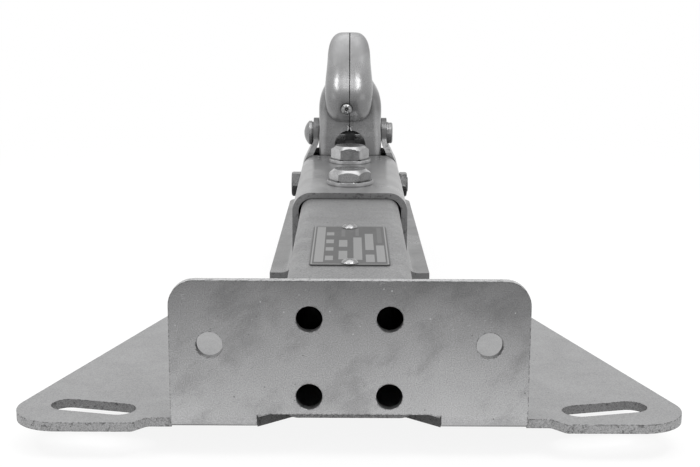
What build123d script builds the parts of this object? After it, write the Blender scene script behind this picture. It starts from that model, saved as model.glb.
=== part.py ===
"""Trailer ball coupler on a square drawbar stub with a slotted mounting bracket.

Workshop frame, in millimetres: X to the right, Y forward to the ball, Z up.
Y = 0 is the rear face of the mounting plate, Z = 0 the underside of the bracket.
Every piece is moved at export so that the origin lies in the middle of the
four-hole pattern on the plate's rear face.
"""
from build123d import *
from math import asin, atan2, cos, degrees, hypot, radians, sin, sqrt
import os

# Mounting bracket, folded from sheet
SHEET = 5.0
PLATE_WIDTH = 188.0
PLATE_TOP = 81.0
PLATE_CORNER_R = 13.5
BEND_R = 8.0
BEND_START_X = 48.5
HOLE_R = 7.0
HOLE_PITCH_X = 42.0
HOLE_PITCH_Z = 42.0
HOLES_Z = 39.5
SIDE_HOLE_X = 73.0
SIDE_HOLE_Z = 46.5
SIDE_HOLE_R = 7.0
NOTCH_EDGE_Z = 8.7
NOTCH_CORNER_R = 6.5
NOTCH_HALF_WIDTH = 31.0
NOTCH_FRONT_Y = 20.0
WING_RELIEF_Y = 4.5
WING_RELIEF_X = 107.0
WING_STEP = 7.0
WING_REAR_Y = -3.5
WING_TIP_X = 187.5
WING_TIP_R = 25.0
WING_ANGLE = 17.2
WING_FRONT_Y = 285.0
WING_FRONT_R = 22.0
WING_SLOT_X = 138.5
WING_SLOT_Y = 21.3
WING_SLOT_WIDTH = 18.0
WING_SLOT_LENGTH = 48.0
WING_SLOT_ANGLE = 13.8

# Drawbar stub
TUBE = 70.0
TUBE_WALL = 4.0
TUBE_R = 8.0
TUBE_END_BEHIND_LATCH = 36.0
WELD_LEG = 5.0
BASE_WELD_LENGTH = 70.0
BASE_WELD_PITCH = 120.0

# Rating plate, left blank, and its rivets
LABEL_WIDTH = 45.5
LABEL_THICKNESS = 0.8
LABEL_CORNER_R = 2.5
LABEL_Y = 113.0
RIVET_PITCH = 99.0
RIVET_MARGIN = 4.5
RIVET_R = 2.4
RIVET_HEAD_R = 5.0
RIVET_HEAD_HEIGHT = 2.4
RIVET_GRIP = 2.0

# Coupler body, pressed from sheet
BODY_SHEET = 4.5
BODY_REAR_Y = 268.0
BODY_SIDE_GAP = 1.8
BODY_CORNER_R = 13.5
BODY_RIM_OUT = 14.7
BODY_RIM_OUT_REAR = 16.6
BODY_RIM_CORNER_R = 22.0
BODY_RIM_BEND_R = 8.0
NOSE_SLOPE_BACK = 13.0
NOSE_SLOPE_R = 40.0
NOSE_HEIGHT = 20.5
EAR_R = 13.0
EAR_FOOT = 21.0
EAR_FLARE_DROP = 6.0
EAR_FLARE_R = 5.0
EAR_SEAT_GAP = 0.5
EAR_SHOULDER = 1.0
EAR_NECK = 3.0
SLOT_SIDE_GAP = 4.0
SLOT_REAR_GAP = 1.0
SLOT_FRONT_GAP = 4.0
SLOT_CORNER_R = 4.0

# Ball and its seat
BALL_R = 25.0
BALL_Y = 520.0
BALL_BELOW_TUBE_MIDDLE = 8.0
BALL_PLAY = 0.4
CUP_WALL = 5.0
CUP_RIM = 4.7
CUP_MOUTH = 15.7
CUP_WINDOW_HALF_WIDTH = 17.5
CUP_WINDOW_RISE = 22.0
CUP_WINDOW_FRONT = 14.0

# Vertical bolts through body and tube
BOLT_R = 9.0
BOLT_HEX = 27.0
BOLT_HEAD_REAR = 8.5
BOLT_HEAD_FRONT = 11.0
BOLT_CROWN = 3.2
BOLT_CORNER_CUT = 1.0
BOLT_FROM_BODY_REAR = 40.0
BOLT_PITCH = 107.0
BOLT_REAR_TURN = -4.0
BOLT_HOLE_GAP = 0.5
WASHER_R = 17.0
WASHER_THICKNESS = 3.0
NUT_HEIGHT = 15.0
NUT_CORNER_CUT = 1.6
BOLT_END = 3.0
SPACER_R = 12.0

# Cross bolt
CROSS_R = 6.0
CROSS_HEX = 19.0
CROSS_HEAD = 7.5
CROSS_NUT = 6.5
CROSS_FROM_TUBE_END = 14.0
CROSS_BELOW_TUBE_TOP = 17.2
CROSS_CORNER_CUT = 1.2
CROSS_END = 0.8

# Lever and its pivot
PIVOT_BEHIND_BALL = 45.0
PIVOT_ABOVE_BODY = 16.5
PIVOT_R = 6.0
PIVOT_HEAD_R = 10.3
PIVOT_HEAD_EDGE = 2.4
PIVOT_HEAD_RISE = 4.4
PIVOT_WASHER = 1.5
PIVOT_WASHER_R = 9.5
PIVOT_CAP_R = 9.0
PIVOT_CAP = 3.7
PIVOT_CAP_CHAMFER = 0.8
LEVER_HALF_WIDTH = 26.5
LEVER_SHEET = 3.0
LEVER_CHEEK_GAP = 0.4
LEVER_REAR = 23.5
LEVER_FRONT = 21.0
LEVER_CORNER_R = 6.0
LEVER_SHOULDER = 52.0
LEVER_BOTTOM = 19.0
LEVER_THROW = 28.0
GRIP_X = -1.2
GRIP_HEEL = 13.0
GRIP_TIP = 86.5
GRIP_INSET = 6.3
GRIP_REAR = 40.5
SEAM_X = -0.6
SEAM_GAP = 0.7
SEAM_FRONT = 11.0
SEAM_NOTCH_WIDTH = 2.4
SEAM_NOTCH_HEIGHT = 4.0
CUTOUT_R = 13.0
CUTOUT_CENTRE = -8.0
SCREW_X = -3.0
SCREW_HEIGHT = 25.0
SCREW_HEAD_R = 4.8
SCREW_HEAD = 3.0
SCREW_R = 2.0
SCREW_LENGTH = 8.0
SCREW_SEAT = 39.8
SCREW_SEAT_GAP = 0.3

# Pull link from the lever to the latch
CRANK = 13.0
LINK_THICKNESS = 8.0
LINK_WIDTH = 8.0
LINK_TOP_EYE_R = 6.0
LINK_TOP_PIN_R = 3.0
LINK_LOW_EYE_R = 7.5
LINK_LOW_PIN_R = 4.0
LINK_PLAY = 0.8
LINK_PIN_INSET = 0.1

# Latch that closes under the ball
LATCH_BEHIND_BALL = 36.0
LATCH_ABOVE_BALL = 12.0
LATCH_PIN_R = 5.0
LATCH_PIN_HEAD_R = 7.5
LATCH_PIN_HEAD = 1.5
LATCH_HUB_R = 9.0
LATCH_HALF_WIDTH = 16.0
LATCH_ARM = 22.0
LATCH_ARM_THICKNESS = 6.0
LATCH_ARM_GAP = 0.6
LATCH_ARM_R = 6.5
LATCH_BALL_GAP = 0.2
LATCH_PAD_Y = 5.0
LATCH_PAD_Z = 18.0
LATCH_PAD_HALF = 9.0
LATCH_JAW_START = 4.0
LATCH_JAW_REACH = 24.0
LATCH_JAW_DROP = 31.0
LATCH_JAW_TOP = 4.0
LATCH_BROW_Y = 9.5
LATCH_BROW_Z = 7.0
LATCH_BROW_R = 3.0
LATCH_SPACER_R = 8.0

# Spring and its seat
SPRING_PLATE = 4.0
SPRING_PLATE_BELOW_TUBE_TOP = 13.0
SPRING_PLATE_CORNER_R = 6.0
SPRING_BELOW_BALL = 4.5
SPRING_LENGTH = 16.0
SPRING_R = 7.8
SPRING_WIRE_R = 1.2
SPRING_TURNS = 4.5
SPRING_BOSS_R = 5.5
SPRING_BOSS = 4.0

# Fits
RUNNING = 0.06
SNUG = 0.02
SEAT_GAP = 0.3

# Levels and widths that follow from the sizes above
TUBE_BOTTOM = SHEET
TUBE_TOP = TUBE_BOTTOM + TUBE
TUBE_MID_Z = TUBE_BOTTOM + TUBE / 2
BODY_TOP = TUBE_TOP + BODY_SHEET
BODY_INNER_X = TUBE / 2 + BODY_SIDE_GAP
BODY_OUTER_X = BODY_INNER_X + BODY_SHEET
LABEL_LENGTH = RIVET_PITCH + 2 * RIVET_MARGIN
BALL_Z = TUBE_MID_Z - BALL_BELOW_TUBE_MIDDLE
BODY_RIM_Z = BALL_Z - CUP_MOUTH
RIM_TOP = BODY_RIM_Z + BODY_SHEET
PIVOT_Y = BALL_Y - PIVOT_BEHIND_BALL
PIVOT_Z = BODY_TOP + PIVOT_ABOVE_BODY
LATCH_Y = BALL_Y - LATCH_BEHIND_BALL
TUBE_FRONT_Y = LATCH_Y - TUBE_END_BEHIND_LATCH
CROSS_Y = TUBE_FRONT_Y - CROSS_FROM_TUBE_END
CROSS_Z = TUBE_TOP - CROSS_BELOW_TUBE_TOP
LATCH_Z = BALL_Z + LATCH_ABOVE_BALL
SPRING_PLATE_TOP = TUBE_TOP - SPRING_PLATE_BELOW_TUBE_TOP
SPRING_Z = BALL_Z - SPRING_BELOW_BALL
BOLT_REAR_Y = BODY_REAR_Y + BOLT_FROM_BODY_REAR
BOLT_YS = (BOLT_REAR_Y, BOLT_REAR_Y + BOLT_PITCH)
GRIP_HALF_WIDTH = LEVER_HALF_WIDTH - GRIP_INSET
EAR_INNER_X = LEVER_HALF_WIDTH + LEVER_CHEEK_GAP
EAR_OUTER_X = EAR_INNER_X + BODY_SHEET
SLOT_HALF_WIDTH = LEVER_HALF_WIDTH + SLOT_SIDE_GAP
SLOT_REAR_Y = PIVOT_Y - LEVER_REAR - SLOT_REAR_GAP
SLOT_FRONT_Y = PIVOT_Y + LEVER_FRONT + SLOT_FRONT_GAP
LATCH_THROW = 2 * degrees(asin(CRANK * sin(radians(LEVER_THROW)) / (2 * LATCH_ARM)))


def outline(*corners):
    """Closed face in the XY plane through (x, y) or (x, y, radius) corners."""
    def along(tip, other, distance):
        dx, dy = other[0] - tip[0], other[1] - tip[1]
        share = distance / hypot(dx, dy)
        return (tip[0] + dx * share, tip[1] + dy * share)

    stations = []
    for index, corner in enumerate(corners):
        radius = corner[2] if len(corner) > 2 else 0
        if not radius:
            stations.append((corner[:2],))
            continue
        before = corners[index - 1]
        after = corners[(index + 1) % len(corners)]
        heading_in = atan2(corner[1] - before[1], corner[0] - before[0])
        heading_out = atan2(after[1] - corner[1], after[0] - corner[0])
        half_turn = abs((heading_out - heading_in + radians(540)) % radians(360) - radians(180)) / 2
        cut = radius * sin(half_turn) / cos(half_turn)
        start = along(corner, before, cut)
        end = along(corner, after, cut)
        middle = ((start[0] + end[0]) / 2, (start[1] + end[1]) / 2)
        reach = radius / cos(half_turn) - radius
        stations.append((start, along(corner, middle, reach), end))
    edges = []
    for index, station in enumerate(stations):
        if len(station) == 3:
            edges.append(ThreePointArc(*station))
        target = stations[(index + 1) % len(stations)][0]
        if hypot(target[0] - station[-1][0], target[1] - station[-1][1]) > 1e-6:
            edges.append(Line(station[-1], target))
    return make_face(edges)


def along_y(section, start, end):
    """Prism along Y of a section drawn as (x, z)."""
    return Pos(0, start, 0) * extrude(Plane.XZ * section, amount=-(end - start))


def along_x(profile, start, end):
    """Prism along X of a side profile drawn as (y, z)."""
    return Pos(start, 0, 0) * extrude(Plane.YZ * profile, amount=end - start)


def along_z(plan, start, end):
    """Prism along Z of a plan drawn as (x, y)."""
    return Pos(0, 0, start) * extrude(plan, amount=end - start)


def rod_x(radius, start, end, y, z):
    return along_x(Pos(y, z) * Circle(radius), start, end)


def rod_y(radius, start, end, x, z):
    return along_y(Pos(x, z) * Circle(radius), start, end)


def rod_z(radius, start, end, x, y):
    return along_z(Pos(x, y) * Circle(radius), start, end)


def both_sides(shape):
    return [shape, mirror(shape, about=Plane.YZ)]


def hexagon(across_flats, height, top_cut, foot_cut=0.0):
    """Hexagon prism standing on Z = 0, its corners turned off by the cuts at the top and the foot."""
    corner_r = across_flats / 2 / cos(radians(30))
    slope = 0.8
    foot = [(corner_r - foot_cut / slope, 0), (corner_r, foot_cut)] if foot_cut else [(corner_r, 0)]
    crown = [(corner_r, height - top_cut), (corner_r - top_cut / slope, height)]
    turned = outline((0, 0), *foot, *crown, (0, height))
    prism = along_z(RegularPolygon(corner_r, 6), 0, height)
    return prism & revolve(Plane.XZ * turned, axis=Axis.Z)


def mounting_bracket():
    half = PLATE_WIDTH / 2
    plate = along_y(outline(
        (-half, BEND_R), (-half, PLATE_TOP, PLATE_CORNER_R), (half, PLATE_TOP, PLATE_CORNER_R),
        (half, BEND_R)), 0, SHEET)
    corner = outline(
        (0, BEND_R + SHEET), (0, 0, BEND_R), (BEND_R + SHEET, 0), (BEND_R + SHEET, SHEET),
        (SHEET, SHEET, BEND_R - SHEET), (SHEET, BEND_R + SHEET))
    bends = both_sides(along_x(corner, BEND_START_X, half))
    plate -= along_y(outline(
        (-BEND_START_X, 0), (-BEND_START_X, NOTCH_EDGE_Z, NOTCH_CORNER_R),
        (BEND_START_X, NOTCH_EDGE_Z, NOTCH_CORNER_R), (BEND_START_X, 0)), 0, SHEET)
    plate += bends
    lean = sin(radians(WING_ANGLE)) / cos(radians(WING_ANGLE))
    front_x = WING_TIP_X - lean * WING_FRONT_Y
    right = [
        (NOTCH_HALF_WIDTH, NOTCH_FRONT_Y), (BEND_START_X, SHEET), (half, SHEET),
        (half, WING_RELIEF_Y), (WING_RELIEF_X, WING_RELIEF_Y, 3),
        (WING_RELIEF_X + WING_STEP, WING_REAR_Y, 3),
        (WING_TIP_X - lean * WING_REAR_Y, WING_REAR_Y, WING_TIP_R),
        (front_x, WING_FRONT_Y, WING_FRONT_R),
    ]
    left = [(-corner[0],) + tuple(corner[1:]) for corner in reversed(right)]
    wings = along_z(outline(*right, *left), 0, SHEET)
    wings -= both_sides(along_z(
        outline((BEND_START_X, 0), (half, 0), (half, BEND_R), (BEND_START_X, BEND_R)), 0, SHEET))
    bracket = plate + wings
    for x in (-HOLE_PITCH_X / 2, HOLE_PITCH_X / 2):
        for z in (HOLES_Z - HOLE_PITCH_Z / 2, HOLES_Z + HOLE_PITCH_Z / 2):
            bracket -= rod_y(HOLE_R, -1, SHEET + 1, x, z)
    bracket -= both_sides(rod_y(SIDE_HOLE_R, -1, SHEET + 1, SIDE_HOLE_X, SIDE_HOLE_Z))
    slot = Pos(WING_SLOT_X, WING_SLOT_Y) * Rot(0, 0, WING_SLOT_ANGLE) \
        * SlotOverall(WING_SLOT_LENGTH, WING_SLOT_WIDTH)
    bracket -= both_sides(along_z(slot, -1, SHEET + 1))
    return bracket


def drawbar_tube():
    inside = TUBE - 2 * TUBE_WALL
    section = Pos(0, TUBE_MID_Z) * RectangleRounded(TUBE, TUBE, TUBE_R)
    section -= Pos(0, TUBE_MID_Z) * RectangleRounded(inside, inside, TUBE_R - TUBE_WALL)
    tube = along_y(section, SHEET, TUBE_FRONT_Y)
    for y in BOLT_YS:
        tube -= rod_z(BOLT_R + BOLT_HOLE_GAP, TUBE_BOTTOM - 1, TUBE_TOP + 1, 0, y)
    tube -= rod_x(CROSS_R + BOLT_HOLE_GAP, -TUBE, TUBE, CROSS_Y, CROSS_Z)
    for y in (LABEL_Y - RIVET_PITCH / 2, LABEL_Y + RIVET_PITCH / 2):
        tube -= rod_z(RIVET_R + SNUG, TUBE_TOP - TUBE_WALL - 1, TUBE_TOP + 1, 0, y)
    return tube


def weld_section(leg):
    """Corner weld seen end on, with a slightly hollow face."""
    return make_face([
        Line((0, 0), (leg, 0)), ThreePointArc((leg, 0), (leg * 0.42, leg * 0.42), (0, leg)),
        Line((0, leg), (0, 0))])


def plate_weld():
    flat = TUBE / 2 - TUBE_R
    bead = weld_section(WELD_LEG)
    side = along_z(Pos(TUBE / 2, SHEET) * bead, TUBE_MID_Z - flat, TUBE_MID_Z + flat)
    top = along_x(Pos(SHEET, TUBE_TOP) * bead, -flat, flat)
    return [*both_sides(side), top]


def base_weld():
    beads = []
    section = Pos(TUBE / 2 - TUBE_R, TUBE_BOTTOM) * weld_section(TUBE_R)
    section -= Pos(TUBE / 2 - TUBE_R, TUBE_BOTTOM + TUBE_R) * Circle(TUBE_R)
    for index in range(2):
        start = NOTCH_FRONT_Y + WELD_LEG + index * BASE_WELD_PITCH
        beads += both_sides(along_y(section, start, start + BASE_WELD_LENGTH))
    return beads


def label_plan():
    return Pos(0, LABEL_Y) * RectangleRounded(LABEL_WIDTH, LABEL_LENGTH, LABEL_CORNER_R)


def type_plate():
    plate = along_z(label_plan(), TUBE_TOP, TUBE_TOP + LABEL_THICKNESS)
    for y in (LABEL_Y - RIVET_PITCH / 2, LABEL_Y + RIVET_PITCH / 2):
        plate -= rod_z(RIVET_R + SNUG, TUBE_TOP - 1, TUBE_TOP + LABEL_THICKNESS + 1, 0, y)
    return plate


def dome(radius, height):
    """Cap of a sphere standing on Z = 0."""
    sphere_r = (radius ** 2 + height ** 2) / (2 * height)
    rise = sphere_r - height
    side = (radius * sin(radians(45)), sqrt(sphere_r ** 2 - (radius * sin(radians(45))) ** 2) - rise)
    half = make_face([
        Line((0, 0), (radius, 0)), ThreePointArc((radius, 0), side, (0, height)),
        Line((0, height), (0, 0))])
    return revolve(Plane.XZ * half, axis=Axis.Z)


def type_plate_rivets():
    seat = TUBE_TOP + LABEL_THICKNESS
    foot = TUBE_TOP - TUBE_WALL - RIVET_GRIP
    rivets = []
    for y in (LABEL_Y - RIVET_PITCH / 2, LABEL_Y + RIVET_PITCH / 2):
        head = Pos(0, y, seat) * dome(RIVET_HEAD_R, RIVET_HEAD_HEIGHT)
        rivets.append(head + rod_z(RIVET_R, foot, seat, 0, y))
    return rivets


def body_plan(inset):
    """Plan of the pressing: straight walls and a round nose about the ball."""
    half = BODY_OUTER_X - inset
    rear = BODY_REAR_Y - (1 if inset > 0 else 0)
    return make_face([
        Line((-half, rear), (-half, BALL_Y)),
        ThreePointArc((-half, BALL_Y), (0, BALL_Y + half), (half, BALL_Y)),
        Line((half, BALL_Y), (half, rear)), Line((half, rear), (-half, rear))])


def roof_profile(inset, bottom):
    """Side view of the pressing: level roof, then down over the nose."""
    top = BODY_TOP - inset
    nose = BALL_Y + BODY_OUTER_X - inset
    return outline(
        (BODY_REAR_Y - 2, bottom), (BODY_REAR_Y - 2, top), (BALL_Y - NOSE_SLOPE_BACK, top, NOSE_SLOPE_R),
        (nose, BALL_Z + NOSE_HEIGHT - inset), (nose, bottom))


def body_form(inset, bottom):
    """Solid outer or inner form of the pressing with its rounded top edge."""
    form = along_z(body_plan(inset), bottom, BODY_TOP)
    form &= along_x(roof_profile(inset, bottom), -BODY_OUTER_X, BODY_OUTER_X)
    top_faces = [face for face in form.faces() if face.normal_at().Z > 0.2]
    roof_edges = []
    for edge in form.edges():
        owners = [face for face in top_faces if face.distance_to(edge.center()) < 0.001]
        walls = edge.center().Z > bottom + 1 and edge.center().Y > BODY_REAR_Y + 2
        if len(owners) == 1 and walls:
            roof_edges.append(edge)
    return fillet(roof_edges, BODY_CORNER_R - inset)


def ear_lines():
    """Outer foot, inner foot and inner top (x, z) of the flare on the body's rounded corner."""
    centre = (BODY_OUTER_X - BODY_CORNER_R, BODY_TOP - BODY_CORNER_R)
    top = (EAR_OUTER_X, PIVOT_Z - EAR_FLARE_DROP)
    away = hypot(centre[0] - top[0], centre[1] - top[1])
    heading = atan2(centre[1] - top[1], centre[0] - top[0]) + asin(BODY_CORNER_R / away)
    length = sqrt(away ** 2 - BODY_CORNER_R ** 2)
    foot = (top[0] + length * cos(heading), top[1] + length * sin(heading))
    inner_foot = (foot[0] + BODY_SHEET * sin(heading), foot[1] - BODY_SHEET * cos(heading))
    inner_top = (EAR_INNER_X, inner_foot[1] + (EAR_INNER_X - inner_foot[0]) * sin(heading) / cos(heading))
    return foot, inner_foot, inner_top


def ear():
    """Right-hand pivot ear: the side wall drawn in beside the lever slot and raised above the roof."""
    foot, inner_foot, inner_top = ear_lines()
    crown = PIVOT_Z + EAR_R
    section = outline(
        (EAR_INNER_X, crown), (*inner_top, EAR_FLARE_R), inner_foot, foot,
        (EAR_OUTER_X, PIVOT_Z - EAR_FLARE_DROP, EAR_FLARE_R), (EAR_OUTER_X, crown))
    low = inner_foot[1] - BODY_SHEET
    shoulder = BODY_TOP + EAR_SHOULDER
    neck = PIVOT_Z - EAR_NECK
    side = outline(
        (PIVOT_Y - EAR_FOOT, low), (PIVOT_Y - EAR_FOOT, shoulder, EAR_FLARE_R),
        (PIVOT_Y - EAR_R, neck, EAR_FLARE_R), (PIVOT_Y - EAR_R, crown, EAR_R - SNUG),
        (PIVOT_Y + EAR_R, crown, EAR_R - SNUG), (PIVOT_Y + EAR_R, neck, EAR_FLARE_R),
        (PIVOT_Y + EAR_FOOT, shoulder, EAR_FLARE_R), (PIVOT_Y + EAR_FOOT, low))
    tab = along_y(section, PIVOT_Y - EAR_FOOT, PIVOT_Y + EAR_FOOT)
    tab &= along_x(side, EAR_INNER_X, BODY_OUTER_X)
    return tab - rod_x(PIVOT_HEAD_R + EAR_SEAT_GAP, EAR_OUTER_X, BODY_OUTER_X, PIVOT_Y, PIVOT_Z)


def rim_plan():
    """Flat rim round the body, a little wider at the rear."""
    front = BALL_Y + BODY_OUTER_X + BODY_RIM_OUT
    half = BODY_OUTER_X + BODY_RIM_OUT
    rear_half = BODY_OUTER_X + BODY_RIM_OUT_REAR
    return outline(
        (-rear_half, BODY_REAR_Y), (-half, front, BODY_RIM_CORNER_R),
        (half, front, BODY_RIM_CORNER_R), (rear_half, BODY_REAR_Y))


def coupler_body():
    rim = along_z(rim_plan(), BODY_RIM_Z, RIM_TOP)
    outer = body_form(0, BODY_RIM_Z) + rim
    bend_edges = [
        edge for edge in outer.edges()
        if abs(edge.center().Z - RIM_TOP) < 0.01 and abs(edge.center().X) < BODY_OUTER_X + 0.1
        and edge.center().Y > BODY_REAR_Y + 1 and edge.center().Y < BALL_Y + BODY_OUTER_X + 1
    ]
    outer = fillet(bend_edges, BODY_RIM_BEND_R)
    body = outer - body_form(BODY_SHEET, BODY_RIM_Z - 1)
    slot = Pos(0, (SLOT_REAR_Y + SLOT_FRONT_Y) / 2) * RectangleRounded(
        2 * SLOT_HALF_WIDTH, SLOT_FRONT_Y - SLOT_REAR_Y, SLOT_CORNER_R)
    body -= along_z(slot, TUBE_TOP - BODY_SHEET, BODY_TOP + 1)
    foot, inner_foot, _ = ear_lines()
    lanced = outline(
        (0, inner_foot[1]), inner_foot, foot, (BODY_OUTER_X, foot[1]), (BODY_OUTER_X, BODY_TOP + 1),
        (0, BODY_TOP + 1))
    body -= both_sides(along_y(lanced, PIVOT_Y - EAR_FOOT, PIVOT_Y + EAR_FOOT))
    body += both_sides(ear())
    body -= rod_x(PIVOT_R + SNUG, -BODY_OUTER_X, BODY_OUTER_X, PIVOT_Y, PIVOT_Z)
    body -= rod_x(LATCH_PIN_R + SNUG, -BODY_OUTER_X - 1, BODY_OUTER_X + 1, LATCH_Y, LATCH_Z)
    body -= rod_x(CROSS_R + BOLT_HOLE_GAP, -BODY_OUTER_X - 1, BODY_OUTER_X + 1, CROSS_Y, CROSS_Z)
    for y in BOLT_YS:
        body -= rod_z(BOLT_R + BOLT_HOLE_GAP, TUBE_TOP - 1, BODY_TOP + 1, 0, y)
    return body


def ball_cup():
    """Cup welded in the nose: half a sphere, a straight mouth and a broad rim."""
    inside = BALL_R + BALL_PLAY
    outside = inside + CUP_WALL
    rim_r = BODY_INNER_X
    rim_top = BODY_RIM_Z + CUP_RIM
    lean = radians(45)
    half = make_face([
        Line((0, BALL_Z + inside), (0, BALL_Z + outside)),
        ThreePointArc((0, BALL_Z + outside), (outside * sin(lean), BALL_Z + outside * cos(lean)),
                      (outside, BALL_Z)),
        Line((outside, BALL_Z), (outside, rim_top)),
        Line((outside, rim_top), (rim_r, rim_top)),
        Line((rim_r, rim_top), (rim_r, BODY_RIM_Z)),
        Line((rim_r, BODY_RIM_Z), (inside, BODY_RIM_Z)),
        Line((inside, BODY_RIM_Z), (inside, BALL_Z)),
        ThreePointArc((inside, BALL_Z), (inside * sin(lean), BALL_Z + inside * cos(lean)),
                      (0, BALL_Z + inside)),
    ])
    cup = Pos(0, BALL_Y) * revolve(Plane.XZ * half, axis=Axis.Z)
    window_front = BALL_Y - CUP_WINDOW_FRONT
    window_top = BALL_Z + CUP_WINDOW_RISE
    window = outline(
        (BALL_Y - BODY_OUTER_X, 0), (BALL_Y - BODY_OUTER_X, window_top), (window_front, window_top),
        (window_front, 0))
    return cup - along_x(window, -CUP_WINDOW_HALF_WIDTH, CUP_WINDOW_HALF_WIDTH)


def bolt_stack(y, head, turn):
    """Head, shank, washers, nut and spacer of one vertical bolt, by name."""
    washer_top = BODY_TOP + WASHER_THICKNESS
    washer_foot = TUBE_BOTTOM - WASHER_THICKNESS
    nut_foot = washer_foot - NUT_HEIGHT
    bolt = Pos(0, y, washer_top) * Rot(0, 0, turn) * hexagon(BOLT_HEX, head, BOLT_CROWN, BOLT_CORNER_CUT)
    bolt += rod_z(BOLT_R, nut_foot - BOLT_END, washer_top, 0, y)
    washer_hole = rod_z(BOLT_R + BOLT_HOLE_GAP, -PLATE_TOP, PLATE_TOP + WASHER_R, 0, y)
    nut = Pos(0, y, nut_foot) * hexagon(BOLT_HEX, NUT_HEIGHT, NUT_CORNER_CUT, NUT_CORNER_CUT)
    inside = TUBE_BOTTOM + TUBE_WALL
    return {
        "bolt": bolt,
        "washer": rod_z(WASHER_R, BODY_TOP, washer_top, 0, y) - washer_hole,
        "nut_washer": rod_z(WASHER_R, washer_foot, TUBE_BOTTOM, 0, y) - washer_hole,
        "nut": nut - rod_z(BOLT_R + SNUG, -PLATE_TOP, TUBE_BOTTOM, 0, y),
        "spacer": rod_z(SPACER_R, inside, TUBE_TOP - TUBE_WALL, 0, y) - washer_hole,
    }


def cross_bolt():
    seat = Pos(-BODY_OUTER_X, CROSS_Y, CROSS_Z) * Rot(0, -90, 0) * Rot(0, 0, 30)
    end = BODY_OUTER_X + CROSS_NUT + CROSS_END
    shank = rod_x(CROSS_R, -BODY_OUTER_X, end, CROSS_Y, CROSS_Z)
    return seat * hexagon(CROSS_HEX, CROSS_HEAD, CROSS_CORNER_CUT) + shank


def cross_bolt_nut():
    seat = Pos(BODY_OUTER_X, CROSS_Y, CROSS_Z) * Rot(0, 90, 0) * Rot(0, 0, 30)
    bore = rod_x(CROSS_R + SNUG, 0, BODY_OUTER_X + 2 * CROSS_NUT, CROSS_Y, CROSS_Z)
    return seat * hexagon(CROSS_HEX, CROSS_NUT, CROSS_CORNER_CUT, CROSS_CORNER_CUT) - bore


def spring_plate():
    """Cross wall that closes the tube's end and carries the spring."""
    front = TUBE_FRONT_Y + SPRING_PLATE
    wall = along_y(outline(
        (-BODY_INNER_X, BODY_RIM_Z), (-BODY_INNER_X, SPRING_PLATE_TOP, SPRING_PLATE_CORNER_R),
        (BODY_INNER_X, SPRING_PLATE_TOP, SPRING_PLATE_CORNER_R), (BODY_INNER_X, BODY_RIM_Z)),
        TUBE_FRONT_Y, front)
    return wall + rod_y(SPRING_BOSS_R, front, front + SPRING_BOSS, 0, SPRING_Z)


def pivot_pin():
    head_x = EAR_OUTER_X + PIVOT_WASHER
    edge_x = head_x + PIVOT_HEAD_EDGE
    head = Pos(-edge_x, PIVOT_Y, PIVOT_Z) * Rot(0, -90, 0) * dome(PIVOT_HEAD_R, PIVOT_HEAD_RISE)
    head += rod_x(PIVOT_HEAD_R, -edge_x, -head_x, PIVOT_Y, PIVOT_Z)
    return head + rod_x(PIVOT_R, -head_x, head_x + PIVOT_CAP, PIVOT_Y, PIVOT_Z)


def pivot_washers():
    ring = rod_x(PIVOT_WASHER_R, EAR_OUTER_X, EAR_OUTER_X + PIVOT_WASHER, PIVOT_Y, PIVOT_Z)
    return both_sides(ring - rod_x(PIVOT_R + SNUG, 0, 2 * EAR_OUTER_X, PIVOT_Y, PIVOT_Z))


def pivot_cap():
    start = EAR_OUTER_X + PIVOT_WASHER
    cap = Pos(start, PIVOT_Y, PIVOT_Z) * Rot(0, 90, 0) * Cylinder(
        PIVOT_CAP_R, PIVOT_CAP, align=(Align.CENTER, Align.CENTER, Align.MIN))
    cap = chamfer(cap.edges().sort_by(Axis.X)[-1], PIVOT_CAP_CHAMFER)
    return cap - rod_x(PIVOT_R + SNUG, start - 1, start + PIVOT_CAP + 1, PIVOT_Y, PIVOT_Z)


def latch_pin():
    head = LATCH_PIN_HEAD
    pin = rod_x(LATCH_PIN_R, -BODY_OUTER_X, BODY_OUTER_X, LATCH_Y, LATCH_Z)
    button = Pos(BODY_OUTER_X, LATCH_Y, LATCH_Z) * Rot(0, 90, 0) * dome(LATCH_PIN_HEAD_R, head)
    for end in both_sides(button):
        pin += end
    return pin


def latch_spacers():
    sleeve = rod_x(LATCH_SPACER_R, LATCH_HALF_WIDTH + SEAT_GAP, BODY_INNER_X - SEAT_GAP, LATCH_Y, LATCH_Z)
    return both_sides(sleeve - rod_x(LATCH_PIN_R + SNUG, 0, BODY_INNER_X, LATCH_Y, LATCH_Z))


def stacked(levels, inset, x=0.0):
    """Smooth skin through level rounded sections (height, half width, rear, front, corner)."""
    sections = []
    for height, half, rear, front, corner in levels:
        width = 2 * (half - inset)
        depth = front - rear - 2 * inset
        plan = Pos(x, PIVOT_Y + (front + rear) / 2, PIVOT_Z + height) * RectangleRounded(
            width, depth, min(corner - inset / 2, width * 0.49, depth * 0.49))
        sections.append(plan)
    return loft(sections)


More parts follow.
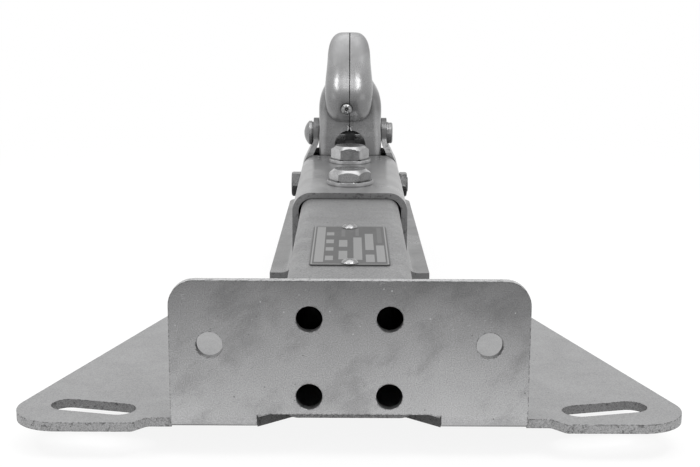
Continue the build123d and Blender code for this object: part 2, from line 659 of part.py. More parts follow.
def grip_levels(inset):
    """Raised handgrip from its rounded heel to its tip, in shares of its length, width and depth."""
    shares = [
        (0.0, 0.45, -0.77, -0.40, 0.35), (0.027, 0.67, -0.85, -0.32, 0.50),
        (0.095, 0.86, -0.94, -0.25, 0.64), (0.204, 0.96, -1.0, -0.10, 0.72),
        (0.34, 1.0, -0.985, 0.10, 0.76), (0.503, 0.965, -0.83, 0.20, 0.72),
        (0.694, 0.90, -0.70, 0.20, 0.64), (0.857, 0.825, -0.64, 0.125, 0.58),
        (0.952, 0.655, -0.575, 0.05, 0.48), (1.0, 0.37, -0.475, -0.075, 0.30)]
    low, high = GRIP_HEEL + inset, GRIP_TIP - inset
    return [
        (low + share * (high - low), width * GRIP_HALF_WIDTH, rear * GRIP_REAR, front * GRIP_REAR,
         corner * GRIP_HALF_WIDTH)
        for share, width, rear, front, corner in shares]


def base_levels(inset, bottom):
    """Box between the ears, drawn in to the grip above, in shares of its own size."""
    straight = (LEVER_HALF_WIDTH, -LEVER_REAR, LEVER_FRONT, LEVER_CORNER_R)
    shares = [
        (0.42, 1.0, -1.0, 0.95, 0.30), (0.65, 0.943, -0.957, 0.81, 0.38),
        (0.83, 0.774, -0.83, 0.62, 0.45), (1.0, 0.585, -0.66, 0.43, 0.45)]
    drawn_in = [
        (share * (LEVER_SHOULDER - inset), width * LEVER_HALF_WIDTH, rear * LEVER_REAR, front * LEVER_FRONT,
         corner * LEVER_HALF_WIDTH)
        for share, width, rear, front, corner in shares]
    return [(bottom, *straight), (0.0, *straight), *drawn_in]


def lever_forms(inset, bottom):
    """Outer or inner forms of the handle's grip and base."""
    base = stacked(base_levels(inset, bottom), inset)
    flat_sides = Pos(0, PIVOT_Y + (LEVER_FRONT - LEVER_REAR) / 2) * RectangleRounded(
        2 * (LEVER_HALF_WIDTH - inset), LEVER_REAR + LEVER_FRONT - 2 * inset, LEVER_CORNER_R)
    base &= along_z(flat_sides, PIVOT_Z + bottom, PIVOT_Z + GRIP_TIP)
    return stacked(grip_levels(inset), inset, GRIP_X), base


def lever_shell():
    grip, base = lever_forms(0, -LEVER_BOTTOM)
    grip_hollow, base_hollow = lever_forms(LEVER_SHEET, -LEVER_BOTTOM - LEVER_SHEET)
    shell = grip + base - grip_hollow - base_hollow
    floor = PIVOT_Z - LEVER_BOTTOM - 1
    arch_z = PIVOT_Z + CUTOUT_CENTRE
    arch = outline((-CUTOUT_R, floor), (-CUTOUT_R, arch_z), (CUTOUT_R, arch_z), (CUTOUT_R, floor))
    arch += Pos(0, arch_z) * Circle(CUTOUT_R)
    arch_top = arch_z + CUTOUT_R
    arch += outline(
        (SEAM_X - SEAM_NOTCH_WIDTH, arch_top - SEAM_GAP), (SEAM_X, arch_top + SEAM_NOTCH_HEIGHT),
        (SEAM_X + SEAM_NOTCH_WIDTH, arch_top - SEAM_GAP))
    rear = PIVOT_Y - LEVER_REAR
    shell -= along_y(arch, rear - 1, rear + LEVER_SHEET + 1)
    seam = outline(
        (PIVOT_Y - GRIP_REAR - 1, arch_z), (PIVOT_Y - GRIP_REAR - 1, PIVOT_Z + GRIP_TIP + 1),
        (PIVOT_Y - SEAM_FRONT, PIVOT_Z + GRIP_TIP + 1), (PIVOT_Y - SEAM_FRONT, arch_z))
    shell -= along_x(seam, SEAM_X - SEAM_GAP / 2, SEAM_X + SEAM_GAP / 2)
    seat = PIVOT_Y - SCREW_SEAT
    screw_z = PIVOT_Z + SCREW_HEIGHT
    shell -= rod_y(SCREW_HEAD_R + SCREW_SEAT_GAP, seat - LEVER_SHEET, seat, SCREW_X, screw_z)
    shell -= rod_y(SCREW_R + SNUG, seat, seat + SCREW_LENGTH, SCREW_X, screw_z)
    reach = LEVER_HALF_WIDTH + 1
    shell -= rod_x(PIVOT_R + RUNNING, -reach, reach, PIVOT_Y, PIVOT_Z)
    return shell - rod_x(LINK_TOP_PIN_R + SNUG, -reach, reach, PIVOT_Y - CRANK, PIVOT_Z)


def link_top_pin():
    end = LEVER_HALF_WIDTH - LINK_PIN_INSET
    return rod_x(LINK_TOP_PIN_R, -end, end, PIVOT_Y - CRANK, PIVOT_Z)


def link_ends():
    """Upper and lower eye centres of the link with the lever raised."""
    lift = radians(LATCH_THROW / 2)
    return (PIVOT_Y - CRANK, PIVOT_Z), (LATCH_Y - LATCH_ARM * cos(lift), LATCH_Z + LATCH_ARM * sin(lift))


def pull_link():
    upper, lower = link_ends()
    half = LINK_THICKNESS / 2
    ends = [Pos(*end) * Circle(LINK_WIDTH / 2) for end in (upper, lower)]
    profile = make_hull([edge for end in ends for edge in end.edges()])
    profile += Pos(*upper) * Circle(LINK_TOP_EYE_R)
    profile += Pos(*lower) * Circle(LINK_LOW_EYE_R)
    link = along_x(profile, -half, half)
    link -= rod_x(LINK_TOP_PIN_R + RUNNING, -half - 1, half + 1, *upper)
    return link - rod_x(LINK_LOW_PIN_R + LINK_PLAY, -half - 1, half + 1, *lower)


def latch_turned(shape):
    """Turn a latch piece from its closed place back to the open one."""
    axis_place = Pos(0, LATCH_Y, LATCH_Z)
    return axis_place * Rot(-LATCH_THROW, 0, 0) * shape


def arm_end():
    """Closed place of the latch arm's eye, measured from the latch pin."""
    drop = radians(LATCH_THROW / 2)
    return (-LATCH_ARM * cos(drop), -LATCH_ARM * sin(drop))


def ball_latch():
    """Jaw, hub and two arms, closed round the ball and then turned open."""
    turn = radians(LATCH_THROW)
    lean = (LATCH_PAD_HALF * sin(turn), LATCH_PAD_HALF * cos(turn))
    jaw = outline(
        (-LATCH_PAD_Y - lean[0], -LATCH_PAD_Z + lean[1]), (-LATCH_PAD_Y + lean[0], -LATCH_PAD_Z - lean[1]),
        (LATCH_JAW_START, -LATCH_JAW_DROP), (LATCH_JAW_REACH, -LATCH_JAW_DROP),
        (LATCH_JAW_REACH, -LATCH_JAW_TOP), (LATCH_BROW_Y, LATCH_BROW_Z, LATCH_BROW_R),
        (0, LATCH_HUB_R), (-LATCH_HUB_R + SNUG, 0))
    jaw += Circle(LATCH_HUB_R)
    latch = along_x(jaw, -LATCH_HALF_WIDTH, LATCH_HALF_WIDTH)
    ball = (BALL_Y - LATCH_Y, BALL_Z - LATCH_Z)
    latch -= Pos(0, *ball) * Sphere(BALL_R + LATCH_BALL_GAP)
    eye = arm_end()
    arm_profile = make_hull([*Circle(LATCH_ARM_R).edges(), *(Pos(*eye) * Circle(LATCH_ARM_R)).edges()])
    inner = LINK_THICKNESS / 2 + LATCH_ARM_GAP
    for arm in both_sides(along_x(arm_profile, inner, inner + LATCH_ARM_THICKNESS)):
        latch += arm
    latch -= rod_x(LATCH_PIN_R + RUNNING, -2 * LATCH_HALF_WIDTH, 2 * LATCH_HALF_WIDTH, 0, 0)
    latch -= rod_x(LINK_LOW_PIN_R + SNUG, -2 * LATCH_HALF_WIDTH, 2 * LATCH_HALF_WIDTH, *eye)
    ball_way = rod_z(BALL_R + BALL_PLAY, -BALL_Z, BALL_Z, 0, BALL_Y)
    return latch_turned(latch) - ball_way


def link_low_pin():
    end = LINK_THICKNESS / 2 + LATCH_ARM_GAP + LATCH_ARM_THICKNESS
    return latch_turned(rod_x(LINK_LOW_PIN_R, -end, end, *arm_end()))


def latch_spring():
    start = TUBE_FRONT_Y + SPRING_PLATE + SPRING_WIRE_R
    path = Pos(0, start, SPRING_Z) * Rot(-90, 0, 0) * Helix(
        SPRING_LENGTH / SPRING_TURNS, SPRING_LENGTH, SPRING_R)
    section = Plane(origin=path @ 0, z_dir=path % 0) * Circle(SPRING_WIRE_R)
    return sweep(section, path=path)


def lever_screw():
    seat = PIVOT_Y - SCREW_SEAT
    z = PIVOT_Z + SCREW_HEIGHT
    head = Pos(SCREW_X, seat, z) * Rot(90, 0, 0) * dome(SCREW_HEAD_R, SCREW_HEAD)
    return head + rod_y(SCREW_R, seat, seat + SCREW_LENGTH, SCREW_X, z)


def main():
    os.makedirs("parts", exist_ok=True)
    stacks = [bolt_stack(BOLT_YS[0], BOLT_HEAD_REAR, BOLT_REAR_TURN),
              bolt_stack(BOLT_YS[1], BOLT_HEAD_FRONT, 0)]
    nodes = {
        "mounting_bracket": mounting_bracket(),
        "drawbar_tube": drawbar_tube(),
        "plate_weld": plate_weld(),
        "base_weld": base_weld(),
        "type_plate": type_plate(),
        "type_plate_rivets": type_plate_rivets(),
        "coupler_body": coupler_body(),
        "ball_cup": ball_cup(),
        "coupler_bolts": [stack["bolt"] for stack in stacks],
        "bolt_washers": [stack["washer"] for stack in stacks],
        "nut_washers": [stack["nut_washer"] for stack in stacks],
        "coupler_nuts": [stack["nut"] for stack in stacks],
        "bolt_spacers": [stack["spacer"] for stack in stacks],
        "cross_bolt": cross_bolt(),
        "cross_bolt_nut": cross_bolt_nut(),
        "spring_plate": spring_plate(),
        "latch_spring": latch_spring(),
        "pivot_pin": pivot_pin(),
        "pivot_washers": pivot_washers(),
        "pivot_cap": pivot_cap(),
        "latch_pin": latch_pin(),
        "latch_spacers": latch_spacers(),
        "lever_shell": lever_shell(),
        "lever_screw": lever_screw(),
        "lever_link_pin": link_top_pin(),
        "pull_link": pull_link(),
        "ball_latch": ball_latch(),
        "latch_link_pin": link_low_pin(),
    }
    for name, pieces in nodes.items():
        pieces = pieces if isinstance(pieces, list) else [pieces]
        solids = [solid for piece in pieces for solid in piece.solids()]
        shape = solids[0] if len(solids) == 1 else Compound(solids)
        export_step(Pos(0, 0, -HOLES_Z) * shape, f"parts/{name}.step")


if __name__ == "__main__":
    main()
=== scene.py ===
"""Trailer ball coupler on its drawbar and mounting bracket: finishes, small details, camera and studio.

Metres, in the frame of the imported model: +Y runs forward to the ball, +Z is up.
"""
import math

import bmesh
import bpy
from bpy.props import FloatProperty, FloatVectorProperty, PointerProperty
from mathutils import Matrix, Vector


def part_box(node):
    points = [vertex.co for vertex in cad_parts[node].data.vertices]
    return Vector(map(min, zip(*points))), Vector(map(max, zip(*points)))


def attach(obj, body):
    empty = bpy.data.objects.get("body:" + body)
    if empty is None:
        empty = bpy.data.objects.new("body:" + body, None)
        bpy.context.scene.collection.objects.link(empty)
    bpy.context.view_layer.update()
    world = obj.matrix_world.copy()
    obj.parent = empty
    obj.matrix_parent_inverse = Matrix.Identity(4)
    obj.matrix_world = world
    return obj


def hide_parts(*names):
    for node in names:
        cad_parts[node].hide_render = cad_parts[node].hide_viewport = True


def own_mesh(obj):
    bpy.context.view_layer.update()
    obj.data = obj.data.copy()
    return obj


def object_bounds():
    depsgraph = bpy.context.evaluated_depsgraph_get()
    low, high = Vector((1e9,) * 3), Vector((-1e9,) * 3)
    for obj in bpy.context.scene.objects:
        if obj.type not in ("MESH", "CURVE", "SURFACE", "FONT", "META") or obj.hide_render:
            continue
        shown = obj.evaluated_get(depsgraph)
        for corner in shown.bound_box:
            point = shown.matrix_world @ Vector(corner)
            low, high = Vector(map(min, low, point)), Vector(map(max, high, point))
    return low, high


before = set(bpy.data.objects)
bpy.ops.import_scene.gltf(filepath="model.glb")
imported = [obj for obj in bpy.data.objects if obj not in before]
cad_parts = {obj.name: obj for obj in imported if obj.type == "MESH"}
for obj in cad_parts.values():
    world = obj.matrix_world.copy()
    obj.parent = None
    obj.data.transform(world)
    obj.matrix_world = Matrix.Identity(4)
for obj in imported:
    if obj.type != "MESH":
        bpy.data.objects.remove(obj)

bl_info = {
    "name": "Trailer ball coupler",
    "version": (1, 0, 0),
    "blender": (4, 5, 0),
    "location": "View3D > Sidebar > Coupler",
    "description": "Dresses the coupler, its drawbar stub and bracket in zinc finishes",
    "category": "Object",
}

CAD_BOX = [list(corner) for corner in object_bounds()]
ROOT = "drawbar"

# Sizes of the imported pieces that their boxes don't give
BRACKET_SHEET = 0.005
PIVOT_ABOVE_ROOF = 0.0165
LEVER_REAR = 0.0235
SEAM_X = -0.0006
ARCH_TOP_ABOVE_PIVOT = 0.005
BOLT_RADIUS = 0.009
SCREW_HEAD_HEIGHT = 0.003
SCREW_SHANK_RADIUS = 0.002

# The rivets' shanks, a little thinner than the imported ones
RIVET_SHANK_RADIUS = 0.0023

# Limits of the regions whose faces are marked, and how near to one a face may lie
BEND_END_X = 0.0945
NOTCH_END_X = 0.0495
NOTCH_END_Y = 0.045
WING_SLOT_X = (0.1, 0.165)
WING_SLOT_START_Y = 0.012
WING_SLOT_END_Y = 0.045
BODY_RIM_EDGE = 0.0047
BODY_RIM_TOP = 0.012
NEAR = 0.001

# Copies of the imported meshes: doubled points this close are joined, faces within the flat angle become
# one, and edges under the smooth angle are shaded smooth
WELD_DISTANCE = 2e-6
FLAT_ANGLE = math.radians(0.5)
SMOOTH_ANGLE = math.radians(34.0)

# Weld beads
BEAD_SINK = 0.0012
PLATE_BEAD_RADIUS = 0.0036
PLATE_BEAD_INSET = 0.008
FOOT_BEAD_RADIUS = 0.0030
FOOT_BEAD_INSET = 0.0022
FOOT_BEAD_RISE = 0.0004
FOOT_BEAD_LENGTH = 0.070
BEAD_SIDES = 14
BEAD_STEPS = 8.0
BEAD_SWAY = 0.3
BEAD_SWAY_SCALE = 90.0

# Thread ridge, as shares of the pitch
RIDGE_RADIUS = 0.3
RIDGE_SINK = 0.2
RIDGE_MARGIN = 0.34

# Steps in a turn of the round pieces and the thread
TURNED_STEPS = 40

# Round heads as (radius, height), in shares of the head's radius and height, and for the driven pin in
# a rivet's head in shares of the pin's radius and the head's height
RIVET_HEAD = ((1.0, 0.0), (0.99, 0.14), (0.9, 0.36), (0.74, 0.66), (0.56, 0.88), (0.42, 0.95))
RIVET_PIN = ((1.25, 0.8), (1.1, 0.8), (1.0, 0.98), (0.5, 1.0), (0.42, 0.8), (0.0, 0.78))
SCREW_HEAD = ((1.0, 0.0), (0.985, 0.2), (0.9, 0.48), (0.72, 0.76), (0.5, 0.94), (0.36, 1.0),
              (0.3, 0.93), (0.24, 0.45), (0.0, 0.35))

# Lips that turn outwards where the handle's seam meets its arch, as (across, up) from the arch's top
LIP_RADIUS = 0.0007
LIP_PATHS = (
    ((-0.00175, -0.0004), (-0.00110, 0.0009), (-0.00080, 0.0022), (-0.00105, 0.0033),
     (-0.00190, 0.0042), (-0.00280, 0.0047)),
    ((0.00175, -0.0004), (0.00110, 0.0009), (0.00080, 0.0021), (0.00120, 0.0029),
     (0.00210, 0.0034), (0.00310, 0.0033)),
)

# Marks of the faces as (how far sheared, change of tone by painted light and shade: darker below nought,
# lighter above it)
PLAIN_MARK = (0.0, 0.0)
BRACKET_MARKS = {
    "base_top": (0.0, -0.12), "plate_top_edge": (1.0, 0.25), "plate_corner": (1.0, -0.1),
    "plate_rim": (1.0, -0.45), "underside": (0.0, -0.3), "bend_foot": (0.0, -0.7),
    "notch": (1.0, -0.75), "wing_slot": (1.0, -0.4), "wing_rim": (1.0, -0.06)}
TUBE_END_MARK = (1.0, -0.2)
BODY_MARKS = {
    "rear": (1.0, -0.1), "ear_edge": (1.0, -0.42), "rim_edge": (1.0, -0.25), "rim_top": (0.0, -0.4),
    "ear_side": (0.0, -0.15)}
# Painted light and shade on the bolt heads' left, middle and right facets, as the two heads show them to
# the rear
FACET_PAINTED_LIGHT = {"rear": (0.16, 0.25, -0.5), "front": (0.28, 0.0, -0.12)}

# Patterns in the coats, as noise scales per metre
WORN_SCALE = 260.0
NICK_SCALE = 520.0
TORN_SCALE = 420.0
BORDER_SCALE = 14.0
WAVE_SCALE = 26.0
SCRATCH_SCALES = ((14.0, 900.0), (22.0, 1300.0))
SCRATCH_PATCH_SCALES = (30.0, 47.0)

# Smudges lean and stretch as a wiped or drained coat leaves them
SMUDGE_LEAN = 0.6
SMUDGE_STRETCH = (0.75, 1.0, 1.25)

# Specks: cells to a grain, radius of the dark and the bright ones and their soft edge in cells, and the
# share of the cells that stays empty
SPECK_CELLS = 0.15
SPECK_RADII = (0.10, 0.085)
SPECK_EDGE = 0.04
SPECK_RARITY = 0.84

# Tone that each kind of mark brings the coat to, the last one a painted shadow along lines where pieces
# touch, and the depth of the fine relief
DARK_SPECK, BRIGHT_SPECK, SCRATCH, WORN_EDGE, NICK, CONTACT_SHADING = 0.45, 1.25, 1.7, 1.8, 0.15, 0.4
CHIP_SHARE = 0.5
# Reach of the painted shadow along lines where pieces touch
CONTACT_SHADING_REACH = 0.0016
RELIEF_DEPTH = 0.00012

# A pressing's crown across its width, and the coat rubbed dull by hands over a run of height
CROWN_REACH = 0.038
CROWN_SHARE = 1.8
RUBBED_RUN = 0.014
RUBBED_ROUGHNESS = 0.34

# Blank boxes printed on the rating plate. Each column has its edges across the plate and its boxes
# along it as (start, end, how light), all as shares of the plate's size
PLATE_COLUMNS = (
    (0.050, 0.170, [(0.06, 0.97, 1.0)]),
    (0.185, 0.290, [(0.10, 0.21, 1.0), (0.33, 0.42, 1.0), (0.52, 0.62, 1.0), (0.73, 0.82, 1.0)]),
    (0.355, 0.470, [(0.12, 0.33, 1.0), (0.43, 0.61, 1.0)]),
    (0.385, 0.440, [(0.70, 0.90, 0.25)]),
    (0.545, 0.660, [(0.11, 0.68, 1.0)]),
    (0.575, 0.625, [(0.72, 0.93, 0.25)]),
    (0.700, 0.815, [(0.06, 0.24, 1.0), (0.35, 0.78, 1.0)]),
    (0.840, 0.950, [(0.06, 0.47, 1.0)]),
    (0.865, 0.930, [(0.53, 0.95, 0.2)]),
)
PLATE_MARGIN = (0.030, 0.016)
# Width of the painted shade round the plate's edge, as a share of its size
PLATE_SHADED_EDGE = 0.012
BOX_BLUR = 0.004

# Camera, fitted to the photograph
CAMERA_PLACE = (-0.00044, -0.64971, 0.20238)
CAMERA_TURN = (78.181, -0.255, 0.014)
CAMERA_LENS = 66.94
SENSOR_WIDTH = 36.0

# Studio
FLOOR_REACH = 6.0
FLOOR_GLOW_NEAR = 0.88
FLOOR_FADE = (0.45, 1.3)
WORLD_LEVEL = 0.7
LAMP_AIM = (0.0, 0.3, 0.03)
LAMPS = {
    "overhead": {"place": (0.0, 0.1, 2.2), "size": (2.7, 2.7), "power": 26.0},
    "left": {"place": (-2.0, -0.6, 0.15), "size": (1.4, 1.4), "power": 3.0},
    "right": {"place": (1.6, -0.9, 0.15), "size": (1.4, 1.4), "power": 3.4},
    "key_left": {"place": (-0.93, -0.14, 1.27), "size": (0.8, 0.22), "power": 4.6},
    "key_right": {"place": (0.50, -0.37, 1.40), "size": (0.8, 0.22), "power": 6.4},
}


def swatch(name, description, colour):
    return FloatVectorProperty(
        name=name, description=description, subtype="COLOR", size=3, min=0.0, max=1.0, default=colour)


def length(name, description, default, least=0.0):
    return FloatProperty(
        name=name, description=description, subtype="DISTANCE", unit="LENGTH", default=default, min=least)


class CouplerFinish(bpy.types.PropertyGroup):
    """Colours and grain of the finishes."""
    zinc_tint: swatch("Zinc tint", "Colour of the galvanised sheet", (0.325, 0.325, 0.328))
    pressing_tint: swatch("Pressing tint", "Colour of the zinc-plated pressings", (0.285, 0.285, 0.288))
    bolt_tint: swatch("Bolt tint", "Colour of the bright zinc on bolts and nuts", (0.36, 0.36, 0.363))
    forging_tint: swatch("Forging tint", "Colour of the dark latch and link", (0.045, 0.045, 0.046))
    grain_size: length("Grain size", "Size of the fine zinc grain", 0.0006, 0.0001)
    cloud_size: length("Cloud size", "Size of the cloudy patches in the zinc", 0.035, 0.001)
    edge_radius: length("Edge radius", "Rounding of cut and worn edges", 0.0004)
    # Reach of the painted shade that darkens the zinc beside a wall
    recess_shading_reach: length("Recess shading reach", "How far a wall dulls the zinc beside it", 0.016)


class CouplerDetails(bpy.types.PropertyGroup):
    """Sizes of the details that are added to the metal pieces."""
    ripple_pitch: length("Weld ripple", "Distance between ripples of a weld bead", 0.0016, 0.0002)
    ripple_depth: FloatProperty(
        name="Weld ripple depth", description="Share of the bead's radius that a ripple takes",
        subtype="FACTOR", default=0.14, min=0.0, max=0.5)
    thread_pitch: length("Thread pitch", "Pitch of the thread on the vertical bolts", 0.0025, 0.0005)
    rivet_pin: length("Rivet pin", "Radius of the driven pin in a rivet's head", 0.0011, 0.0001)


def add_node(tree, kind, inputs=None, **settings):
    """Adds a node; an input's value may be a number, a colour or another node's socket."""
    made = tree.nodes.new(kind)
    for name, value in settings.items():
        setattr(made, name, value)
    for key, value in (inputs or {}).items():
        socket = made.inputs[key]
        if isinstance(value, bpy.types.NodeSocket):
            tree.links.new(value, socket)
        else:
            socket.default_value = value
    return made


def maths(tree, operation, first, second=0.0, clamp=False):
    made = add_node(tree, "ShaderNodeMath", {0: first, 1: second}, operation=operation, use_clamp=clamp)
    return made.outputs[0]


def remap(tree, value, low, high, to_low=0.0, to_high=1.0):
    made = add_node(tree, "ShaderNodeMapRange", {
        "Value": value, "From Min": low, "From Max": high, "To Min": to_low, "To Max": to_high})
    return made.outputs[0]


def blend_colour(tree, factor, first, second):
    made = add_node(tree, "ShaderNodeMix", {0: factor, 6: first, 7: second}, data_type="RGBA")
    return made.outputs[2]


def blend_value(tree, factor, first, second):
    made = add_node(tree, "ShaderNodeMix", {0: factor, 2: first, 3: second}, data_type="FLOAT")
    return made.outputs[0]


def stretched(tree, vector, scale):
    made = add_node(tree, "ShaderNodeVectorMath", {0: vector, 1: scale}, operation="MULTIPLY")
    return made.outputs[0]


def start_group(name, inputs, outputs):
    """New shader node group with named sockets; returns the tree, its inputs and its output node."""
    tree = bpy.data.node_groups.new(name, "ShaderNodeTree")
    kinds = {float: "NodeSocketFloat", tuple: "NodeSocketVector"}
    for label, value in inputs.items():
        socket = tree.interface.new_socket(label, in_out="INPUT", socket_type=kinds[type(value)])
        socket.default_value = value
    for label in outputs:
        tree.interface.new_socket(label, in_out="OUTPUT", socket_type="NodeSocketFloat")
    source = tree.nodes.new("NodeGroupInput")
    target = tree.nodes.new("NodeGroupOutput")
    return tree, source.outputs, target


def give(tree, target, values):
    """Joins values to the named inputs of a group's output node or of a shader."""
    for label, value in values.items():
        tree.links.new(value, target.inputs[label])


def use_group(tree, group, inputs):
    return add_node(tree, "ShaderNodeGroup", inputs, node_tree=group).outputs


def noise(tree, vector, scale, detail=2.0, roughness=0.5, distortion=0.0):
    made = add_node(tree, "ShaderNodeTexNoise", {
        "Vector": vector, "Scale": scale, "Detail": detail, "Roughness": roughness,
        "Distortion": distortion})
    return made.outputs["Fac"]


def zinc_group():
    """Clouds, smudges, fine grain and specks of a zinc coat."""
    tree, given, result = start_group(
        "Zinc coat", {"Vector": (0.0, 0.0, 0.0), "Cloud size": 0.035, "Grain size": 0.0006},
        ["Clouds", "Grain", "Dark specks", "Bright specks", "Smudges"])
    place = given["Vector"]
    cloud_scale = maths(tree, "DIVIDE", 1.0, given["Cloud size"])
    grain_scale = maths(tree, "DIVIDE", 1.0, given["Grain size"])
    clouds = noise(tree, place, cloud_scale, detail=5.0, roughness=0.6, distortion=0.4)
    grain = noise(tree, place, grain_scale, roughness=0.6)
    slanted = add_node(tree, "ShaderNodeVectorRotate", {
        "Vector": place, "Axis": (0.0, 1.0, 0.0), "Angle": SMUDGE_LEAN}).outputs[0]
    smear = stretched(tree, slanted, SMUDGE_STRETCH)
    smudges = noise(tree, smear, cloud_scale, detail=8.0, roughness=0.66, distortion=0.25)
    masks = []
    for index, radius in enumerate(SPECK_RADII):
        moved = add_node(tree, "ShaderNodeVectorMath", {
            0: place, 1: (0.31 * index, 0.17 * index, 0.0)}, operation="ADD").outputs[0]
        cells = add_node(tree, "ShaderNodeTexVoronoi", {
            "Vector": moved, "Scale": maths(tree, "MULTIPLY", grain_scale, SPECK_CELLS)})
        chance = add_node(tree, "ShaderNodeSeparateColor", {0: cells.outputs["Color"]}).outputs[0]
        dot = remap(tree, cells.outputs["Distance"], radius + SPECK_EDGE, radius)
        masks.append(maths(tree, "MULTIPLY", dot, maths(tree, "GREATER_THAN", chance, SPECK_RARITY)))
    give(tree, result, {
        "Clouds": remap(tree, clouds, 0.35, 0.65), "Grain": remap(tree, grain, 0.3, 0.7),
        "Dark specks": masks[0], "Bright specks": masks[1],
        "Smudges": remap(tree, smudges, 0.5, 0.62)})
    return tree


def wear_group():
    """Worn outside edges and dark nicks along them, with two masks of painted shade: how open a spot lies,
    for shade in recesses, and lines where pieces touch, for a painted shadow.
    """
    tree, given, result = start_group(
        "Edge wear", {"Vector": (0.0, 0.0, 0.0), "Radius": 0.0008, "Reach": 0.016},
        ["Worn", "Nicks", "Unshaded", "Seam"])
    rounded = add_node(tree, "ShaderNodeBevel", {"Radius": given["Radius"]}, samples=4)
    surface = add_node(tree, "ShaderNodeNewGeometry")
    facing = add_node(tree, "ShaderNodeVectorMath", {
        0: rounded.outputs["Normal"], 1: surface.outputs["Normal"]}, operation="DOT_PRODUCT")
    bent = remap(tree, maths(tree, "SUBTRACT", 1.0, facing.outputs["Value"]), 0.01, 0.16)
    rough = noise(tree, given["Vector"], WORN_SCALE, detail=3.0, roughness=0.6)
    chips = noise(tree, given["Vector"], NICK_SCALE, roughness=0.6)
    # Painted shade: darker where walls close round a spot, and along lines where pieces touch
    recess_occlusion = add_node(tree, "ShaderNodeAmbientOcclusion", {"Distance": given["Reach"]}, samples=6)
    contact_occlusion = add_node(tree, "ShaderNodeAmbientOcclusion", {"Distance": CONTACT_SHADING_REACH}, samples=6)
    give(tree, result, {
        "Worn": maths(tree, "MULTIPLY", bent, remap(tree, rough, 0.35, 0.55)),
        "Nicks": maths(tree, "MULTIPLY", bent, remap(tree, chips, 0.47, 0.53)),
        "Unshaded": remap(tree, recess_occlusion.outputs["AO"], 0.1, 0.7),
        "Seam": remap(tree, contact_occlusion.outputs["AO"], 0.85, 0.55)})
    return tree


def scratch_group():
    """Thin handling scratches in two directions."""
    tree, given, result = start_group(
        "Scratches", {"Vector": (0.0, 0.0, 0.0), "Density": 0.5}, ["Lines"])
    masks = []
    for index, (long_way, cross_way) in enumerate(SCRATCH_SCALES):
        slanted = add_node(tree, "ShaderNodeVectorRotate", {
            "Vector": given["Vector"], "Axis": (0.3, 0.5, 1.0), "Angle": 0.5 + 1.1 * index})
        drawn_out = stretched(tree, slanted.outputs[0], (long_way, cross_way, cross_way))
        lines = noise(tree, drawn_out, 1.0, detail=1.0, roughness=0.4)
        patches = noise(tree, given["Vector"], SCRATCH_PATCH_SCALES[index], detail=1.0)
        masks.append(maths(tree, "MULTIPLY", remap(tree, lines, 0.69, 0.74),
                           remap(tree, patches, 0.52, 0.62)))
    both = maths(tree, "MAXIMUM", masks[0], masks[1])
    give(tree, result, {"Lines": maths(tree, "MULTIPLY", both, given["Density"], clamp=True)})
    return tree


def start_material(name):
    material = bpy.data.materials.new(name)
    material.use_nodes = True
    tree = material.node_tree
    shader = tree.nodes["Principled BSDF"]
    place = add_node(tree, "ShaderNodeTexCoord").outputs["Object"]
    return material, tree, shader, place


def grey(level):
    return (level, level, level, 1.0)


def times(colour, factor):
    return (*[channel * factor for channel in colour[:3]], 1.0)


def upright_share(tree):
    """How squarely a face stands upright across the drawbar."""
    direction = add_node(tree, "ShaderNodeTexCoord").outputs["Normal"]
    return maths(tree, "ABSOLUTE", add_node(tree, "ShaderNodeSeparateXYZ", {0: direction}).outputs["Y"])


def painted_height_shading(tree, place, stops, drift):
    """Painted shade and reflection that follow (height, tone) stops, with an uneven border as wide as the
    drift.
    """
    height = add_node(tree, "ShaderNodeSeparateXYZ", {0: place}).outputs["Z"]
    uneven = maths(tree, "SUBTRACT", noise(tree, place, BORDER_SCALE), 0.5)
    level = maths(tree, "ADD", height, maths(tree, "MULTIPLY", uneven, drift))
    tone = stops[0][1]
    for (low, below), (high, above) in zip(stops, stops[1:]):
        tone = maths(tree, "ADD", tone, remap(tree, level, low, high, 0.0, above - below))
    return tone


